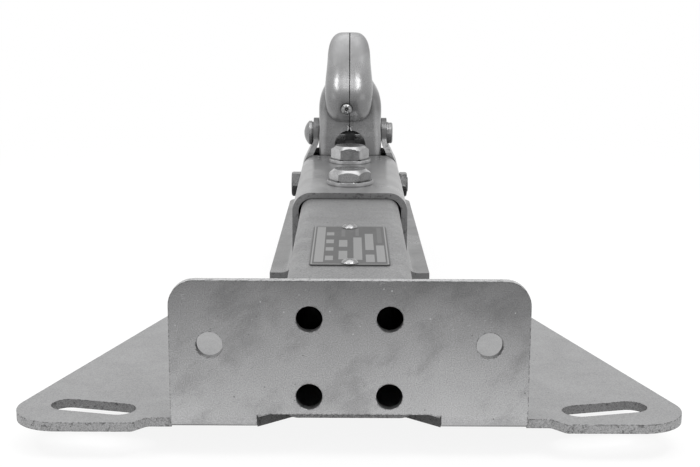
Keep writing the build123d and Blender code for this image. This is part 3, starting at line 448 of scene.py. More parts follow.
def zinc_material(name, tint, groups, metallic=0.65, roughness=0.42, cloudiness=0.07, graininess=0.16,
                  smudges=0.12, speckle=0.3, scratches=0.4, bump=0.3, edge_light=0.3, nicks=0.5,
                  recess_shading=0.45, height_shading=None, cloud_size=None, grain_size=None, edge_reach=2.2,
                  handled=None, waves=0.0):
    """Zinc-coated steel. Two attributes may mark faces: cut for sheared edges, and a painted light and
    shade that is added to the tone there. The height stops paint shade and reflection onto the upright
    faces, and the recess amount paints shade into recesses. Handled is the height from which the coat is
    rubbed dull. Waves is how deep a pressing's skin undulates."""
    finish = bpy.context.scene.coupler_finish
    material, tree, shader, place = start_material(name)
    coat = use_group(tree, groups["zinc"], {
        "Vector": place, "Cloud size": cloud_size or finish.cloud_size,
        "Grain size": grain_size or finish.grain_size})
    edge = use_group(tree, groups["wear"], {
        "Vector": place, "Radius": edge_reach * finish.edge_radius, "Reach": finish.recess_shading_reach})
    marks = use_group(tree, groups["scratch"], {"Vector": place, "Density": scratches})
    cut = add_node(tree, "ShaderNodeAttribute", attribute_name="cut").outputs["Fac"]
    painted_shading = add_node(tree, "ShaderNodeAttribute", attribute_name="painted_shading").outputs["Fac"]
    torn = noise(tree, place, TORN_SCALE, detail=3.0, roughness=0.65)
    upright = upright_share(tree) if height_shading else 1.0

    def around_one(value, amount):
        swing = maths(tree, "MULTIPLY", maths(tree, "SUBTRACT", value, 0.5), amount)
        return maths(tree, "ADD", 1.0, swing)

    # Tone
    tone = maths(tree, "MULTIPLY", around_one(coat["Clouds"], cloudiness * 2),
                 around_one(coat["Grain"], graininess * 2))
    smudged = maths(tree, "MULTIPLY", maths(tree, "MULTIPLY", coat["Smudges"], smudges), upright)
    tone = maths(tree, "MULTIPLY", tone, maths(tree, "SUBTRACT", 1.0, smudged))
    # Painted shade and reflection by height on the upright faces
    if height_shading:
        height_shaded = blend_value(tree, upright, 1.0, painted_height_shading(tree, place, *height_shading))
        tone = maths(tree, "MULTIPLY", tone, height_shaded)
    tone = blend_value(tree, maths(tree, "MULTIPLY", coat["Dark specks"], speckle), tone, DARK_SPECK)
    tone = blend_value(tree, maths(tree, "MULTIPLY", coat["Bright specks"], speckle), tone, BRIGHT_SPECK)
    chipped = maths(tree, "MULTIPLY", remap(tree, torn, 0.56, 0.64), CHIP_SHARE)
    sheared = maths(tree, "SUBTRACT", around_one(coat["Grain"], graininess * 3), chipped)
    tone = blend_value(tree, cut, tone, sheared)
    # Painted light and shade marked on the faces
    tone = maths(tree, "MULTIPLY", tone, maths(tree, "ADD", 1.0, painted_shading))
    tone = blend_value(tree, maths(tree, "MULTIPLY", marks["Lines"], 0.4), tone, SCRATCH)
    tone = blend_value(tree, maths(tree, "MULTIPLY", edge["Worn"], edge_light), tone, WORN_EDGE)
    tone = blend_value(tree, maths(tree, "MULTIPLY", edge["Nicks"], nicks), tone, NICK)
    # Painted shade in recesses, and a painted shadow along lines where pieces touch
    tone = maths(tree, "MULTIPLY", tone, blend_value(tree, edge["Unshaded"], 1.0 - recess_shading, 1.0))
    tone = maths(tree, "MULTIPLY", tone, blend_value(tree, edge["Seam"], 1.0, CONTACT_SHADING))
    coloured = add_node(tree, "ShaderNodeVectorMath", {0: tuple(tint[:3]), "Scale": tone},
                        operation="SCALE")
    shader.inputs["Metallic"].default_value = metallic

    # Roughness
    dulled = maths(tree, "ADD", remap(tree, coat["Clouds"], 0.0, 1.0, roughness + 0.04, roughness - 0.04),
                   maths(tree, "MULTIPLY", coat["Grain"], 0.06))
    dulled = maths(tree, "ADD", dulled, maths(tree, "MULTIPLY", cut, 0.1))
    dulled = maths(tree, "SUBTRACT", dulled, maths(tree, "MULTIPLY", edge["Worn"], 0.1), clamp=True)
    if handled:
        level = add_node(tree, "ShaderNodeSeparateXYZ", {0: place}).outputs["Z"]
        rubbed = remap(tree, level, handled, handled + RUBBED_RUN, 0.0, RUBBED_ROUGHNESS)
        dulled = maths(tree, "ADD", dulled, rubbed, clamp=True)

    # Relief
    height = maths(tree, "ADD", maths(tree, "MULTIPLY", coat["Grain"], 0.4),
                   maths(tree, "MULTIPLY", coat["Clouds"], 0.5))
    height = maths(tree, "ADD", height, maths(tree, "MULTIPLY", maths(tree, "MULTIPLY", torn, cut), 2.5))
    height = maths(tree, "SUBTRACT", height, maths(tree, "MULTIPLY", marks["Lines"], 0.4))
    height = maths(tree, "SUBTRACT", height, maths(tree, "MULTIPLY", edge["Nicks"], nicks))
    rounded = add_node(tree, "ShaderNodeBevel", {"Radius": finish.edge_radius}, samples=4)
    skin = rounded.outputs["Normal"]
    if waves:
        across = add_node(tree, "ShaderNodeSeparateXYZ", {0: place}).outputs["X"]
        crown = maths(tree, "POWER", maths(tree, "DIVIDE", across, CROWN_REACH), 2.0)
        dents = noise(tree, place, WAVE_SCALE, detail=0.0, roughness=0.4, distortion=0.5)
        swell = maths(tree, "SUBTRACT", dents, maths(tree, "MULTIPLY", crown, CROWN_SHARE))
        skin = add_node(tree, "ShaderNodeBump", {
            "Strength": 1.0, "Distance": waves, "Height": swell, "Normal": skin}).outputs["Normal"]
    relief = add_node(tree, "ShaderNodeBump", {
        "Strength": bump, "Distance": RELIEF_DEPTH, "Height": height, "Normal": skin})
    give(tree, shader, {
        "Base Color": coloured.outputs[0], "Roughness": dulled, "Normal": relief.outputs["Normal"]})
    return material


def forging_material(name, tint, groups):
    """Dark scaled steel of the latch and the link."""
    finish = bpy.context.scene.coupler_finish
    material, tree, shader, place = start_material(name)
    coat = use_group(tree, groups["zinc"], {
        "Vector": place, "Cloud size": 0.006, "Grain size": 0.0006})
    edge = use_group(tree, groups["wear"], {
        "Vector": place, "Radius": 0.0008, "Reach": finish.recess_shading_reach})
    skin = blend_colour(tree, coat["Clouds"], times(tint, 0.7), times(tint, 1.6))
    worn = maths(tree, "MULTIPLY", edge["Worn"], 0.5)
    shader.inputs["Metallic"].default_value = 0.6
    relief = add_node(tree, "ShaderNodeBump", {
        "Strength": 0.5, "Distance": 0.0002, "Height": coat["Clouds"]})
    give(tree, shader, {
        "Base Color": blend_colour(tree, worn, skin, times(tint, 4.0)),
        "Roughness": remap(tree, coat["Grain"], 0.0, 1.0, 0.5, 0.7), "Normal": relief.outputs["Normal"]})
    return material


def boxes_group():
    """Light blank boxes and the dark printed ground of the rating plate, and a painted shade round its
    edge, from shares of its size.
    """
    tree, given, result = start_group(
        "Printed boxes", {"Across": 0.0, "Along": 0.0}, ["Boxes", "Ground", "Edge"])

    def between(value, low, high):
        away = maths(tree, "ABSOLUTE", maths(tree, "SUBTRACT", value, (low + high) / 2))
        return remap(tree, away, (high - low) / 2, (high - low) / 2 - BOX_BLUR)

    total = None
    for left, right, rows in PLATE_COLUMNS:
        column = between(given["Across"], left, right)
        for low, high, strength in rows:
            box = maths(tree, "MULTIPLY", column, between(given["Along"], low, high))
            box = maths(tree, "MULTIPLY", box, strength)
            total = box if total is None else maths(tree, "MAXIMUM", total, box)
    side, end = PLATE_MARGIN
    ground = maths(tree, "MULTIPLY", between(given["Across"], side, 1 - side),
                   between(given["Along"], end, 1 - end))
    inner = maths(tree, "MULTIPLY", between(given["Across"], PLATE_SHADED_EDGE, 1 - PLATE_SHADED_EDGE),
                  between(given["Along"], PLATE_SHADED_EDGE / 2, 1 - PLATE_SHADED_EDGE / 2))
    give(tree, result, {
        "Boxes": total, "Ground": ground, "Edge": maths(tree, "SUBTRACT", 1.0, inner)})
    return tree


def plate_material(name, groups):
    """Satin aluminium with a dark printed ground, blank light boxes and a painted shade round its edge."""
    low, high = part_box("type_plate")
    material, tree, shader, place = start_material(name)
    parts = add_node(tree, "ShaderNodeSeparateXYZ", {0: place})
    across = remap(tree, parts.outputs["X"], low[0], high[0])
    along = remap(tree, parts.outputs["Y"], low[1], high[1])
    masks = use_group(tree, groups["boxes"], {"Across": across, "Along": along})
    coat = use_group(tree, groups["zinc"], {"Vector": place, "Cloud size": 0.02, "Grain size": 0.0004})
    marks = use_group(tree, groups["scratch"], {"Vector": place, "Density": 0.5})
    bare = blend_colour(tree, coat["Grain"], grey(0.215), grey(0.25))
    ink = blend_colour(tree, coat["Clouds"], grey(0.076), grey(0.088))
    ink_and_edge_shading = maths(tree, "MULTIPLY", masks["Ground"], maths(tree, "SUBTRACT", 1.0, masks["Boxes"]))
    # Painted shade round the plate's edge, joined to the printed ground
    ink_and_edge_shading = maths(tree, "MAXIMUM", ink_and_edge_shading, masks["Edge"])
    printed = blend_colour(tree, ink_and_edge_shading, bare, ink)
    shader.inputs["Metallic"].default_value = 0.55
    relief = add_node(tree, "ShaderNodeBump", {
        "Strength": 0.3, "Distance": 0.00005,
        "Height": maths(tree, "ADD", ink_and_edge_shading, maths(tree, "MULTIPLY", coat["Grain"], 0.3))})
    scratched = maths(tree, "MULTIPLY", marks["Lines"], 0.3)
    give(tree, shader, {
        "Base Color": blend_colour(tree, scratched, printed, grey(0.5)),
        "Roughness": remap(tree, ink_and_edge_shading, 0.0, 1.0, 0.42, 0.5), "Normal": relief.outputs["Normal"]})
    return material


def seen_share(tree):
    """One for rays from the camera, off metal and through glass, and nought for the rest."""
    path = add_node(tree, "ShaderNodeLightPath").outputs
    seen = maths(tree, "MAXIMUM", path["Is Camera Ray"], path["Is Glossy Ray"])
    return maths(tree, "MAXIMUM", seen, path["Is Transmission Ray"])


def floor_material():
    """White floor that the camera and the metal see as white, with the object's soft shadow kept."""
    material, tree, shader, place = start_material("studio_floor")
    shader.inputs["Base Color"].default_value = grey(0.94)
    shader.inputs["Roughness"].default_value = 0.9
    shader.inputs["Specular IOR Level"].default_value = 0.0
    glow = add_node(tree, "ShaderNodeEmission", {"Color": grey(1.0), "Strength": 1.0})
    away = add_node(tree, "ShaderNodeVectorMath", {0: place}, operation="LENGTH").outputs["Value"]
    share = remap(tree, away, *FLOOR_FADE, FLOOR_GLOW_NEAR, 1.0)
    mixed = add_node(tree, "ShaderNodeMixShader", {
        0: maths(tree, "MULTIPLY", seen_share(tree), share), 1: shader.outputs[0], 2: glow.outputs[0]})
    output = tree.nodes["Material Output"]
    tree.links.new(mixed.outputs[0], output.inputs["Surface"])
    return material


def placed(name, data):
    """New object in the scene for a mesh, curve, lamp or camera."""
    made = bpy.data.objects.new(name, data)
    bpy.context.scene.collection.objects.link(made)
    return made


def mesh_from(work, name):
    """Plain mesh of a finished bmesh."""
    mesh = bpy.data.meshes.new(name)
    work.to_mesh(mesh)
    work.free()
    return mesh


def solid_copy(node_name, piece_name, mark_faces=None, bevel=0.0):
    """Joined-up copy of a CAD node with clean flat faces, an optional rounded edge and smooth shading."""
    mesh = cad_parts[node_name].data.copy()
    mesh.name = piece_name
    mesh.materials.clear()
    work = bmesh.new()
    work.from_mesh(mesh)
    bmesh.ops.remove_doubles(work, verts=work.verts, dist=WELD_DISTANCE)
    bmesh.ops.dissolve_limit(work, angle_limit=FLAT_ANGLE, verts=work.verts, edges=work.edges)
    # Marks per face: how far it is sheared, and the painted light and shade added to its tone
    if mark_faces:
        cut = work.faces.layers.float.new("cut")
        painted_shading = work.faces.layers.float.new("painted_shading")
        for face in work.faces:
            face[cut], face[painted_shading] = mark_faces(face.calc_center_median(), face.normal)
    for edge in work.edges:
        edge.smooth = len(edge.link_faces) == 2 and edge.calc_face_angle(0.0) < SMOOTH_ANGLE
    for face in work.faces:
        face.smooth = True
    work.to_mesh(mesh)
    work.free()
    old_normals = mesh.attributes.get("custom_normal")
    if old_normals:
        mesh.attributes.remove(old_normals)
    piece = placed(piece_name, mesh)
    if bevel:
        modifier = piece.modifiers.new("edge", "BEVEL")
        modifier.width = bevel
        modifier.segments = 2
        modifier.limit_method = "ANGLE"
        modifier.angle_limit = SMOOTH_ANGLE
    evened = piece.modifiers.new("evened", "WEIGHTED_NORMAL")
    evened.keep_sharp = True
    evened.weight = 80
    return piece


def dress(piece, finish, body=ROOT, stands_for=()):
    """Gives a made piece its finish and body, and hides the CAD nodes that it stands for."""
    piece.data.materials.clear()
    piece.data.materials.append(finishes()[finish])
    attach(piece, body)
    if stands_for:
        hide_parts(*stands_for)


def paint(node_names, finish):
    """Gives CAD nodes that stay in view their finish."""
    for name in node_names:
        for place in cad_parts[name].material_slots:
            place.material = finishes()[finish]


def finishes():
    """The materials by name, made once."""
    known = {m.name: m for m in bpy.data.materials}
    if "bracket_zinc" in known:
        return known
    finish = bpy.context.scene.coupler_finish
    groups = {
        "zinc": zinc_group(), "wear": wear_group(), "scratch": scratch_group(), "boxes": boxes_group()}
    sheet, pressing, bolt = finish.zinc_tint, finish.pressing_tint, finish.bolt_tint
    low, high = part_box("mounting_bracket")
    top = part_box("lever_shell")[1][2]
    # The bracket: painted shade and reflection by height, darker towards the plate's top
    zinc_material("bracket_zinc", sheet, groups, smudges=0.2, cloudiness=0.035,
                  graininess=0.26, speckle=0.8, edge_light=0.12, nicks=1.0, edge_reach=3.2,
                  height_shading=([(low[2], 1.38), (high[2], 0.47)], 0.05))
    zinc_material("tube_zinc", times(sheet, 0.64), groups, graininess=0.38, smudges=0.06, speckle=0.8,
                  grain_size=1.7 * finish.grain_size)
    zinc_material("weld_zinc", times(sheet, 0.7), groups, roughness=0.4, cloud_size=0.004, bump=0.6)
    zinc_material("pressing_zinc", times(pressing, 0.76), groups, roughness=0.28, graininess=0.1,
                  waves=0.0016)
    # The handle: painted shade and reflection by height, darkest around the heel and lightest near the
    # grip's top
    zinc_material("lever_zinc", pressing, groups, roughness=0.26, graininess=0.05, scratches=0.6,
                  cloud_size=0.02, bump=0.15, recess_shading=0.85, handled=top - 0.024,
                  height_shading=([(top - 0.073, 0.95), (top - 0.062, 0.56), (top - 0.052, 0.56),
                         (top - 0.040, 0.82), (top - 0.016, 1.24)], 0.01))
    zinc_material("bolt_zinc", bolt, groups, metallic=0.9, roughness=0.2, graininess=0.05,
                  smudges=0.2, cloud_size=0.008, bump=0.15)
    # The washers: a lighter copy of the bolt zinc, a painted sheen for the bright sky they reflect
    zinc_material("washer_zinc", times(bolt, 1.5), groups, metallic=0.95, roughness=0.18, graininess=0.05,
                  smudges=0.2, cloud_size=0.008, bump=0.15, recess_shading=0.3)
    zinc_material("pivot_zinc", times(bolt, 0.68), groups, metallic=0.9, roughness=0.26, graininess=0.06,
                  smudges=0.3, cloud_size=0.006, bump=0.15)
    # The cross bolt and nut: a darker copy of the bolt zinc, painted shade on their faces
    zinc_material("cross_zinc", times(bolt, 0.3), groups, metallic=0.9, roughness=0.26, graininess=0.08,
                  smudges=0.4, cloud_size=0.006, bump=0.2)
    zinc_material("rivet_bright", times(bolt, 0.8), groups, metallic=0.9, roughness=0.15,
                  graininess=0.03, smudges=0.1, cloud_size=0.004, bump=0.1)
    # The heel screw: a darker copy of the bolt zinc, painted shade for the dark surroundings its dome
    # reflects
    zinc_material("screw_bright", times(bolt, 0.65), groups, metallic=0.95, roughness=0.1,
                  graininess=0.02, smudges=0.1, cloud_size=0.004, bump=0.05, recess_shading=0.8)
    # The seam lips: a lighter copy of the pressing zinc, a painted highlight on the curls
    zinc_material("lip_zinc", times(pressing, 1.4), groups, roughness=0.2, graininess=0.03, smudges=0.1,
                  cloud_size=0.004, bump=0.05, recess_shading=0.2)
    zinc_material("spring_wire", times(bolt, 0.5), groups, roughness=0.35, cloud_size=0.004)
    forging_material("dark_forging", finish.forging_tint, groups)
    plate_material("plate_print", groups)
    return {m.name: m for m in bpy.data.materials}


def bracket_marks(centre, normal):
    """Mark of a face of the folded bracket, by where it lies and which way it looks: how far it is
    sheared, and the painted light and shade that it gets.
    """
    low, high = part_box("mounting_bracket")
    out = abs(centre.x)
    low_down = centre.z < low[2] + 2 * BRACKET_SHEET
    if abs(normal.y) > 0.7 and centre.y < 1.1 * BRACKET_SHEET and not (low_down and out > BEND_END_X):
        return PLAIN_MARK
    if not low_down:
        if centre.z > high[2] - 3 * BRACKET_SHEET and normal.z > -0.1:
            return BRACKET_MARKS["plate_top_edge" if normal.z > 0.7 else "plate_corner"]
        return BRACKET_MARKS["plate_rim"]
    if normal.z > 0.9:
        return BRACKET_MARKS["base_top"]
    if normal.z < -0.9:
        return BRACKET_MARKS["underside"]
    if centre.y < 1.2 * BRACKET_SHEET and NOTCH_END_X < out < BEND_END_X and abs(normal.x) < 0.5:
        return BRACKET_MARKS["bend_foot"] if normal.z < -0.75 else PLAIN_MARK
    if out < NOTCH_END_X + NEAR and centre.y < NOTCH_END_Y:
        return BRACKET_MARKS["notch"]
    along_slot = low[1] + WING_SLOT_START_Y < centre.y < WING_SLOT_END_Y
    if along_slot and WING_SLOT_X[0] < out < WING_SLOT_X[1] and abs(normal.x) < 0.999:
        return BRACKET_MARKS["wing_slot"]
    return BRACKET_MARKS["wing_rim"]


class COUPLER_OT_bracket(bpy.types.Operator):
    """Dress the folded mounting bracket"""
    bl_idname = "coupler.bracket"
    bl_label = "Mounting bracket"

    def execute(self, context):
        bracket = solid_copy("mounting_bracket", "bracket_sheet", bracket_marks, bevel=0.0006)
        dress(bracket, "bracket_zinc", stands_for=["mounting_bracket"])
        return {"FINISHED"}


class COUPLER_OT_drawbar(bpy.types.Operator):
    """Dress the square tube and its inner sleeves"""
    bl_idname = "coupler.drawbar"
    bl_label = "Drawbar tube"

    def execute(self, context):
        # The tube's end faces are sheared and get a painted shade
        def tube_end(centre, normal):
            return TUBE_END_MARK if abs(normal.y) > 0.9 else PLAIN_MARK

        tube = solid_copy("drawbar_tube", "drawbar_stub", tube_end, bevel=0.0005)
        dress(tube, "tube_zinc", stands_for=["drawbar_tube"])
        paint(["bolt_spacers"], "tube_zinc")
        return {"FINISHED"}


def start_geometry(name, numbers, takes_path):
    """New geometry tree with number inputs and a finish; returns it, its inputs and its output node."""
    tree = bpy.data.node_groups.new(name, "GeometryNodeTree")
    face = tree.interface
    if takes_path:
        face.new_socket("Path", in_out="INPUT", socket_type="NodeSocketGeometry")
    for label, value in numbers.items():
        face.new_socket(label, in_out="INPUT", socket_type="NodeSocketFloat").default_value = value
    face.new_socket("Finish", in_out="INPUT", socket_type="NodeSocketMaterial")
    face.new_socket("Mesh", in_out="OUTPUT", socket_type="NodeSocketGeometry")
    return tree, tree.nodes.new("NodeGroupInput").outputs, tree.nodes.new("NodeGroupOutput")


def finish_geometry(tree, given, result, mesh):
    """Ends a geometry tree with real instances in their finish."""
    real = add_node(tree, "GeometryNodeRealizeInstances", {0: mesh})
    coated = add_node(tree, "GeometryNodeSetMaterial", {
        "Geometry": real.outputs[0], "Material": given["Finish"]})
    give(tree, result, {"Mesh": coated.outputs[0]})
    return tree


def weld_tree():
    """Bead along a path with rounded ripples."""
    tree, given, result = start_geometry(
        "Weld bead", {"Radius": 0.004, "Pitch": 0.0016, "Depth": 0.14}, takes_path=True)
    step = maths(tree, "DIVIDE", given["Pitch"], BEAD_STEPS)
    fine = add_node(tree, "GeometryNodeResampleCurve", {
        "Curve": given["Path"], "Length": step}, mode="LENGTH")
    along = add_node(tree, "GeometryNodeSplineParameter").outputs["Length"]
    phase = maths(tree, "MULTIPLY", maths(tree, "DIVIDE", along, given["Pitch"]), math.pi)
    ripple = maths(tree, "ABSOLUTE", maths(tree, "SINE", phase))
    dip = maths(tree, "MULTIPLY", maths(tree, "SUBTRACT", 1.0, ripple), given["Depth"])
    uneven = add_node(tree, "ShaderNodeTexNoise", {"Scale": BEAD_SWAY_SCALE, "Detail": 1.0}).outputs["Fac"]
    sway = maths(tree, "MULTIPLY", maths(tree, "SUBTRACT", uneven, 0.5), BEAD_SWAY)
    share = maths(tree, "ADD", maths(tree, "SUBTRACT", 1.0, dip), sway)
    ring = add_node(tree, "GeometryNodeCurvePrimitiveCircle", {
        "Resolution": BEAD_SIDES, "Radius": given["Radius"]})
    bead = add_node(tree, "GeometryNodeCurveToMesh", {
        "Curve": fine.outputs[0], "Profile Curve": ring.outputs[0], "Scale": share, "Fill Caps": True})
    smooth = add_node(tree, "GeometryNodeSetShadeSmooth", {"Geometry": bead.outputs[0]})
    return finish_geometry(tree, given, result, smooth.outputs[0])


def thread_tree():
    """Screw thread ridge: a helix of a given radius, pitch and length with a pointed section."""
    tree, given, result = start_geometry(
        "Thread", {"Radius": 0.009, "Pitch": 0.0025, "Length": 0.004}, takes_path=False)
    helix = add_node(tree, "GeometryNodeCurveSpiral", {
        "Resolution": TURNED_STEPS, "Rotations": maths(tree, "DIVIDE", given["Length"], given["Pitch"]),
        "Start Radius": given["Radius"], "End Radius": given["Radius"], "Height": given["Length"]})
    section = add_node(tree, "GeometryNodeCurvePrimitiveCircle", {
        "Resolution": 4, "Radius": maths(tree, "MULTIPLY", given["Pitch"], RIDGE_RADIUS)})
    ridge = add_node(tree, "GeometryNodeCurveToMesh", {
        "Curve": helix.outputs[0], "Profile Curve": section.outputs[0], "Fill Caps": True})
    return finish_geometry(tree, given, result, ridge.outputs[0])


def grown(name, tree, finish, values, lines=()):
    """Runs a geometry tree on lines of points, or on nothing, and returns the plain mesh object."""
    curve = bpy.data.curves.new(name + "_path", "CURVE")
    curve.dimensions = "3D"
    for line in lines:
        spline = curve.splines.new("POLY")
        spline.points.add(len(line) - 1)
        for target, point in zip(spline.points, line):
            target.co = (*point, 1.0)
    carrier = placed(name + "_path", curve)
    modifier = carrier.modifiers.new("grow", "NODES")
    modifier.node_group = tree
    sockets = {item.name: item.identifier for item in tree.interface.items_tree if item.in_out == "INPUT"}
    for label, value in values.items():
        modifier[sockets[label]] = value
    modifier[sockets["Finish"]] = finishes()[finish]
    context = bpy.context.evaluated_depsgraph_get()
    mesh = bpy.data.meshes.new_from_object(carrier.evaluated_get(context))
    mesh.name = name
    bpy.data.objects.remove(carrier)
    return placed(name, mesh)


class COUPLER_OT_welds(bpy.types.Operator):
    """Rippled weld beads round the tube's end and along its foot"""
    bl_idname = "coupler.welds"
    bl_label = "Weld beads"

    def execute(self, context):
        details = context.scene.coupler_details
        tree = weld_tree()
        settings = {"Pitch": details.ripple_pitch, "Depth": details.ripple_depth}
        low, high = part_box("drawbar_tube")
        rear = low[1] + BEAD_SINK
        foot_z, top_z = low[2] + PLATE_BEAD_INSET, high[2] - PLATE_BEAD_INSET
        lines = [[(side, rear, foot_z), (side, rear, top_z)]
                 for side in (low[0] - BEAD_SINK / 2, high[0] + BEAD_SINK / 2)]
        top = high[2] + BEAD_SINK / 2
        lines.append([(low[0] + PLATE_BEAD_INSET, rear, top), (high[0] - PLATE_BEAD_INSET, rear, top)])
        bead = grown("plate_bead", tree, "weld_zinc", {**settings, "Radius": PLATE_BEAD_RADIUS}, lines)
        dress(bead, "weld_zinc", stands_for=["plate_weld"])
        low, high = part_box("base_weld")
        height = low[2] + FOOT_BEAD_RISE
        foot_lines = [[(x, start, height), (x, start + FOOT_BEAD_LENGTH, height)]
                      for x in (low[0] + FOOT_BEAD_INSET, high[0] - FOOT_BEAD_INSET)
                      for start in (low[1], high[1] - FOOT_BEAD_LENGTH)]
        foot = grown("foot_bead", tree, "weld_zinc", {**settings, "Radius": FOOT_BEAD_RADIUS}, foot_lines)
        dress(foot, "weld_zinc", stands_for=["base_weld"])
        return {"FINISHED"}


def turned(name, profile, place, axis):
    """Closed round piece from (radius, height) points, turned about an axis through a place."""
    work = bmesh.new()
    points = [work.verts.new((radius, 0.0, height)) for radius, height in profile]
    edges = [work.edges.new(pair) for pair in zip(points, points[1:])]
    bmesh.ops.spin(work, geom=points + edges, cent=(0, 0, 0), axis=(0, 0, 1), angle=2 * math.pi,
                   steps=TURNED_STEPS)
    bmesh.ops.remove_doubles(work, verts=work.verts, dist=1e-6)
    bmesh.ops.recalc_face_normals(work, faces=work.faces)
    lean = Vector((0, 0, 1)).rotation_difference(Vector(axis)).to_matrix().to_4x4()
    bmesh.ops.transform(work, matrix=Matrix.Translation(place) @ lean, verts=work.verts)
    for face in work.faces:
        face.smooth = True
    return placed(name, mesh_from(work, name))


def joined(name, pieces):
    """Makes one object of several plain meshes."""
    work = bmesh.new()
    for piece in pieces:
        work.from_mesh(piece.data)
    for piece in pieces:
        bpy.data.objects.remove(piece)
    return placed(name, mesh_from(work, name))


def scaled(profile, reach, rise):
    """A profile in shares, brought to its real radius and height."""
    return [(across * reach, up * rise) for across, up in profile]


class COUPLER_OT_type_plate(bpy.types.Operator):
    """Blank rating plate with two drive rivets"""
    bl_idname = "coupler.type_plate"
    bl_label = "Rating plate"

    def execute(self, context):
        plate = solid_copy("type_plate", "rating_plate", bevel=0.0002)
        dress(plate, "plate_print", stands_for=["type_plate"])
        low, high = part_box("type_plate_rivets")
        plate_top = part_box("type_plate")[1][2]
        reach = (high[0] - low[0]) / 2
        rise = high[2] - plate_top
        pin = context.scene.coupler_details.rivet_pin
        foot = low[2] - plate_top
        shank = [(0.0, foot), (RIVET_SHANK_RADIUS, foot), (RIVET_SHANK_RADIUS, 0.0)]
        profile = shank + scaled(RIVET_HEAD, reach, rise) + scaled(RIVET_PIN, pin, rise)
        heads = [turned("rivet", profile, (0.0, y, plate_top), (0.0, 0.0, 1.0))
                 for y in (low[1] + reach, high[1] - reach)]
        rivets = joined("drive_rivets", heads)
        dress(rivets, "rivet_bright", stands_for=["type_plate_rivets"])
        return {"FINISHED"}


class COUPLER_OT_body(bpy.types.Operator):
    """Dress the pressed coupler body with its cup and cross wall"""
    bl_idname = "coupler.body"
    bl_label = "Coupler body"

    def execute(self, context):
        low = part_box("coupler_body")[0]
        pin_low, pin_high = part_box("pivot_pin")
        roof = (pin_low[2] + pin_high[2]) / 2 - PIVOT_ABOVE_ROOF

        # Faces of the body: how far sheared, and painted shade on its rear edge, ears and rim
        def body_marks(centre, normal):
            if normal.y < -0.9 and centre.y < low[1] + NEAR:
                return BODY_MARKS["rear"]
            on_ear = centre.z > roof + NEAR
            if on_ear and abs(normal.x) < 0.4:
                return BODY_MARKS["ear_edge"]
            if centre.z < low[2] + BODY_RIM_EDGE and abs(normal.z) < 0.5:
                return BODY_MARKS["rim_edge"]
            if centre.z < low[2] + BODY_RIM_TOP and normal.z > 0.9:
                return BODY_MARKS["rim_top"]
            return BODY_MARKS["ear_side"] if on_ear else PLAIN_MARK

        body = solid_copy("coupler_body", "body_pressing", body_marks, bevel=0.0005)
        dress(body, "pressing_zinc", stands_for=["coupler_body"])
        paint(["ball_cup", "spring_plate"], "pressing_zinc")
        return {"FINISHED"}


class COUPLER_OT_fasteners(bpy.types.Operator):
    """Dress bolts, nuts, washers and pins"""
    bl_idname = "coupler.fasteners"
    bl_label = "Bolts and pins"

    def execute(self, context):
        bolts_low, bolts_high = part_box("coupler_bolts")
        washers_low, washers_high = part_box("bolt_washers")
        middle_y = (bolts_low[1] + bolts_high[1]) / 2

        # Painted light and shade on the rear-facing facets of each bolt head
        def painted_facet_light(centre, normal):
            if abs(normal.z) > 0.2 or centre.z < washers_low[2] or normal.y > -0.1:
                return PLAIN_MARK
            left, middle, right = FACET_PAINTED_LIGHT["rear" if centre.y < middle_y else "front"]
            if abs(normal.x) > 0.4:
                return 0.0, right if normal.x > 0 else left
            return 0.0, middle

        bolts = solid_copy("coupler_bolts", "clamp_bolts", painted_facet_light)
        dress(bolts, "bolt_zinc", stands_for=["coupler_bolts"])
        paint(["coupler_nuts", "latch_pin", "latch_spacers"], "bolt_zinc")
        paint(["bolt_washers", "nut_washers"], "washer_zinc")
        paint(["pivot_pin", "pivot_washers", "pivot_cap"], "pivot_zinc")
        paint(["cross_bolt", "cross_bolt_nut"], "cross_zinc")
        washer_reach = (washers_high[0] - washers_low[0]) / 2
        end = bolts_low[2]
        nut_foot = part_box("coupler_nuts")[0][2]
        pitch = context.scene.coupler_details.thread_pitch
        margin = RIDGE_MARGIN * pitch
        tree = thread_tree()
        ends = []
        for y in (washers_low[1] + washer_reach, washers_high[1] - washer_reach):
            ridge = grown("thread", tree, "bolt_zinc", {
                "Radius": BOLT_RADIUS - RIDGE_SINK * pitch, "Pitch": pitch,
                "Length": nut_foot - end - 2 * margin})
            ridge.data.transform(Matrix.Translation((0.0, y, end + margin)))
            ends.append(ridge)
        dress(joined("bolt_threads", ends), "bolt_zinc")
        return {"FINISHED"}


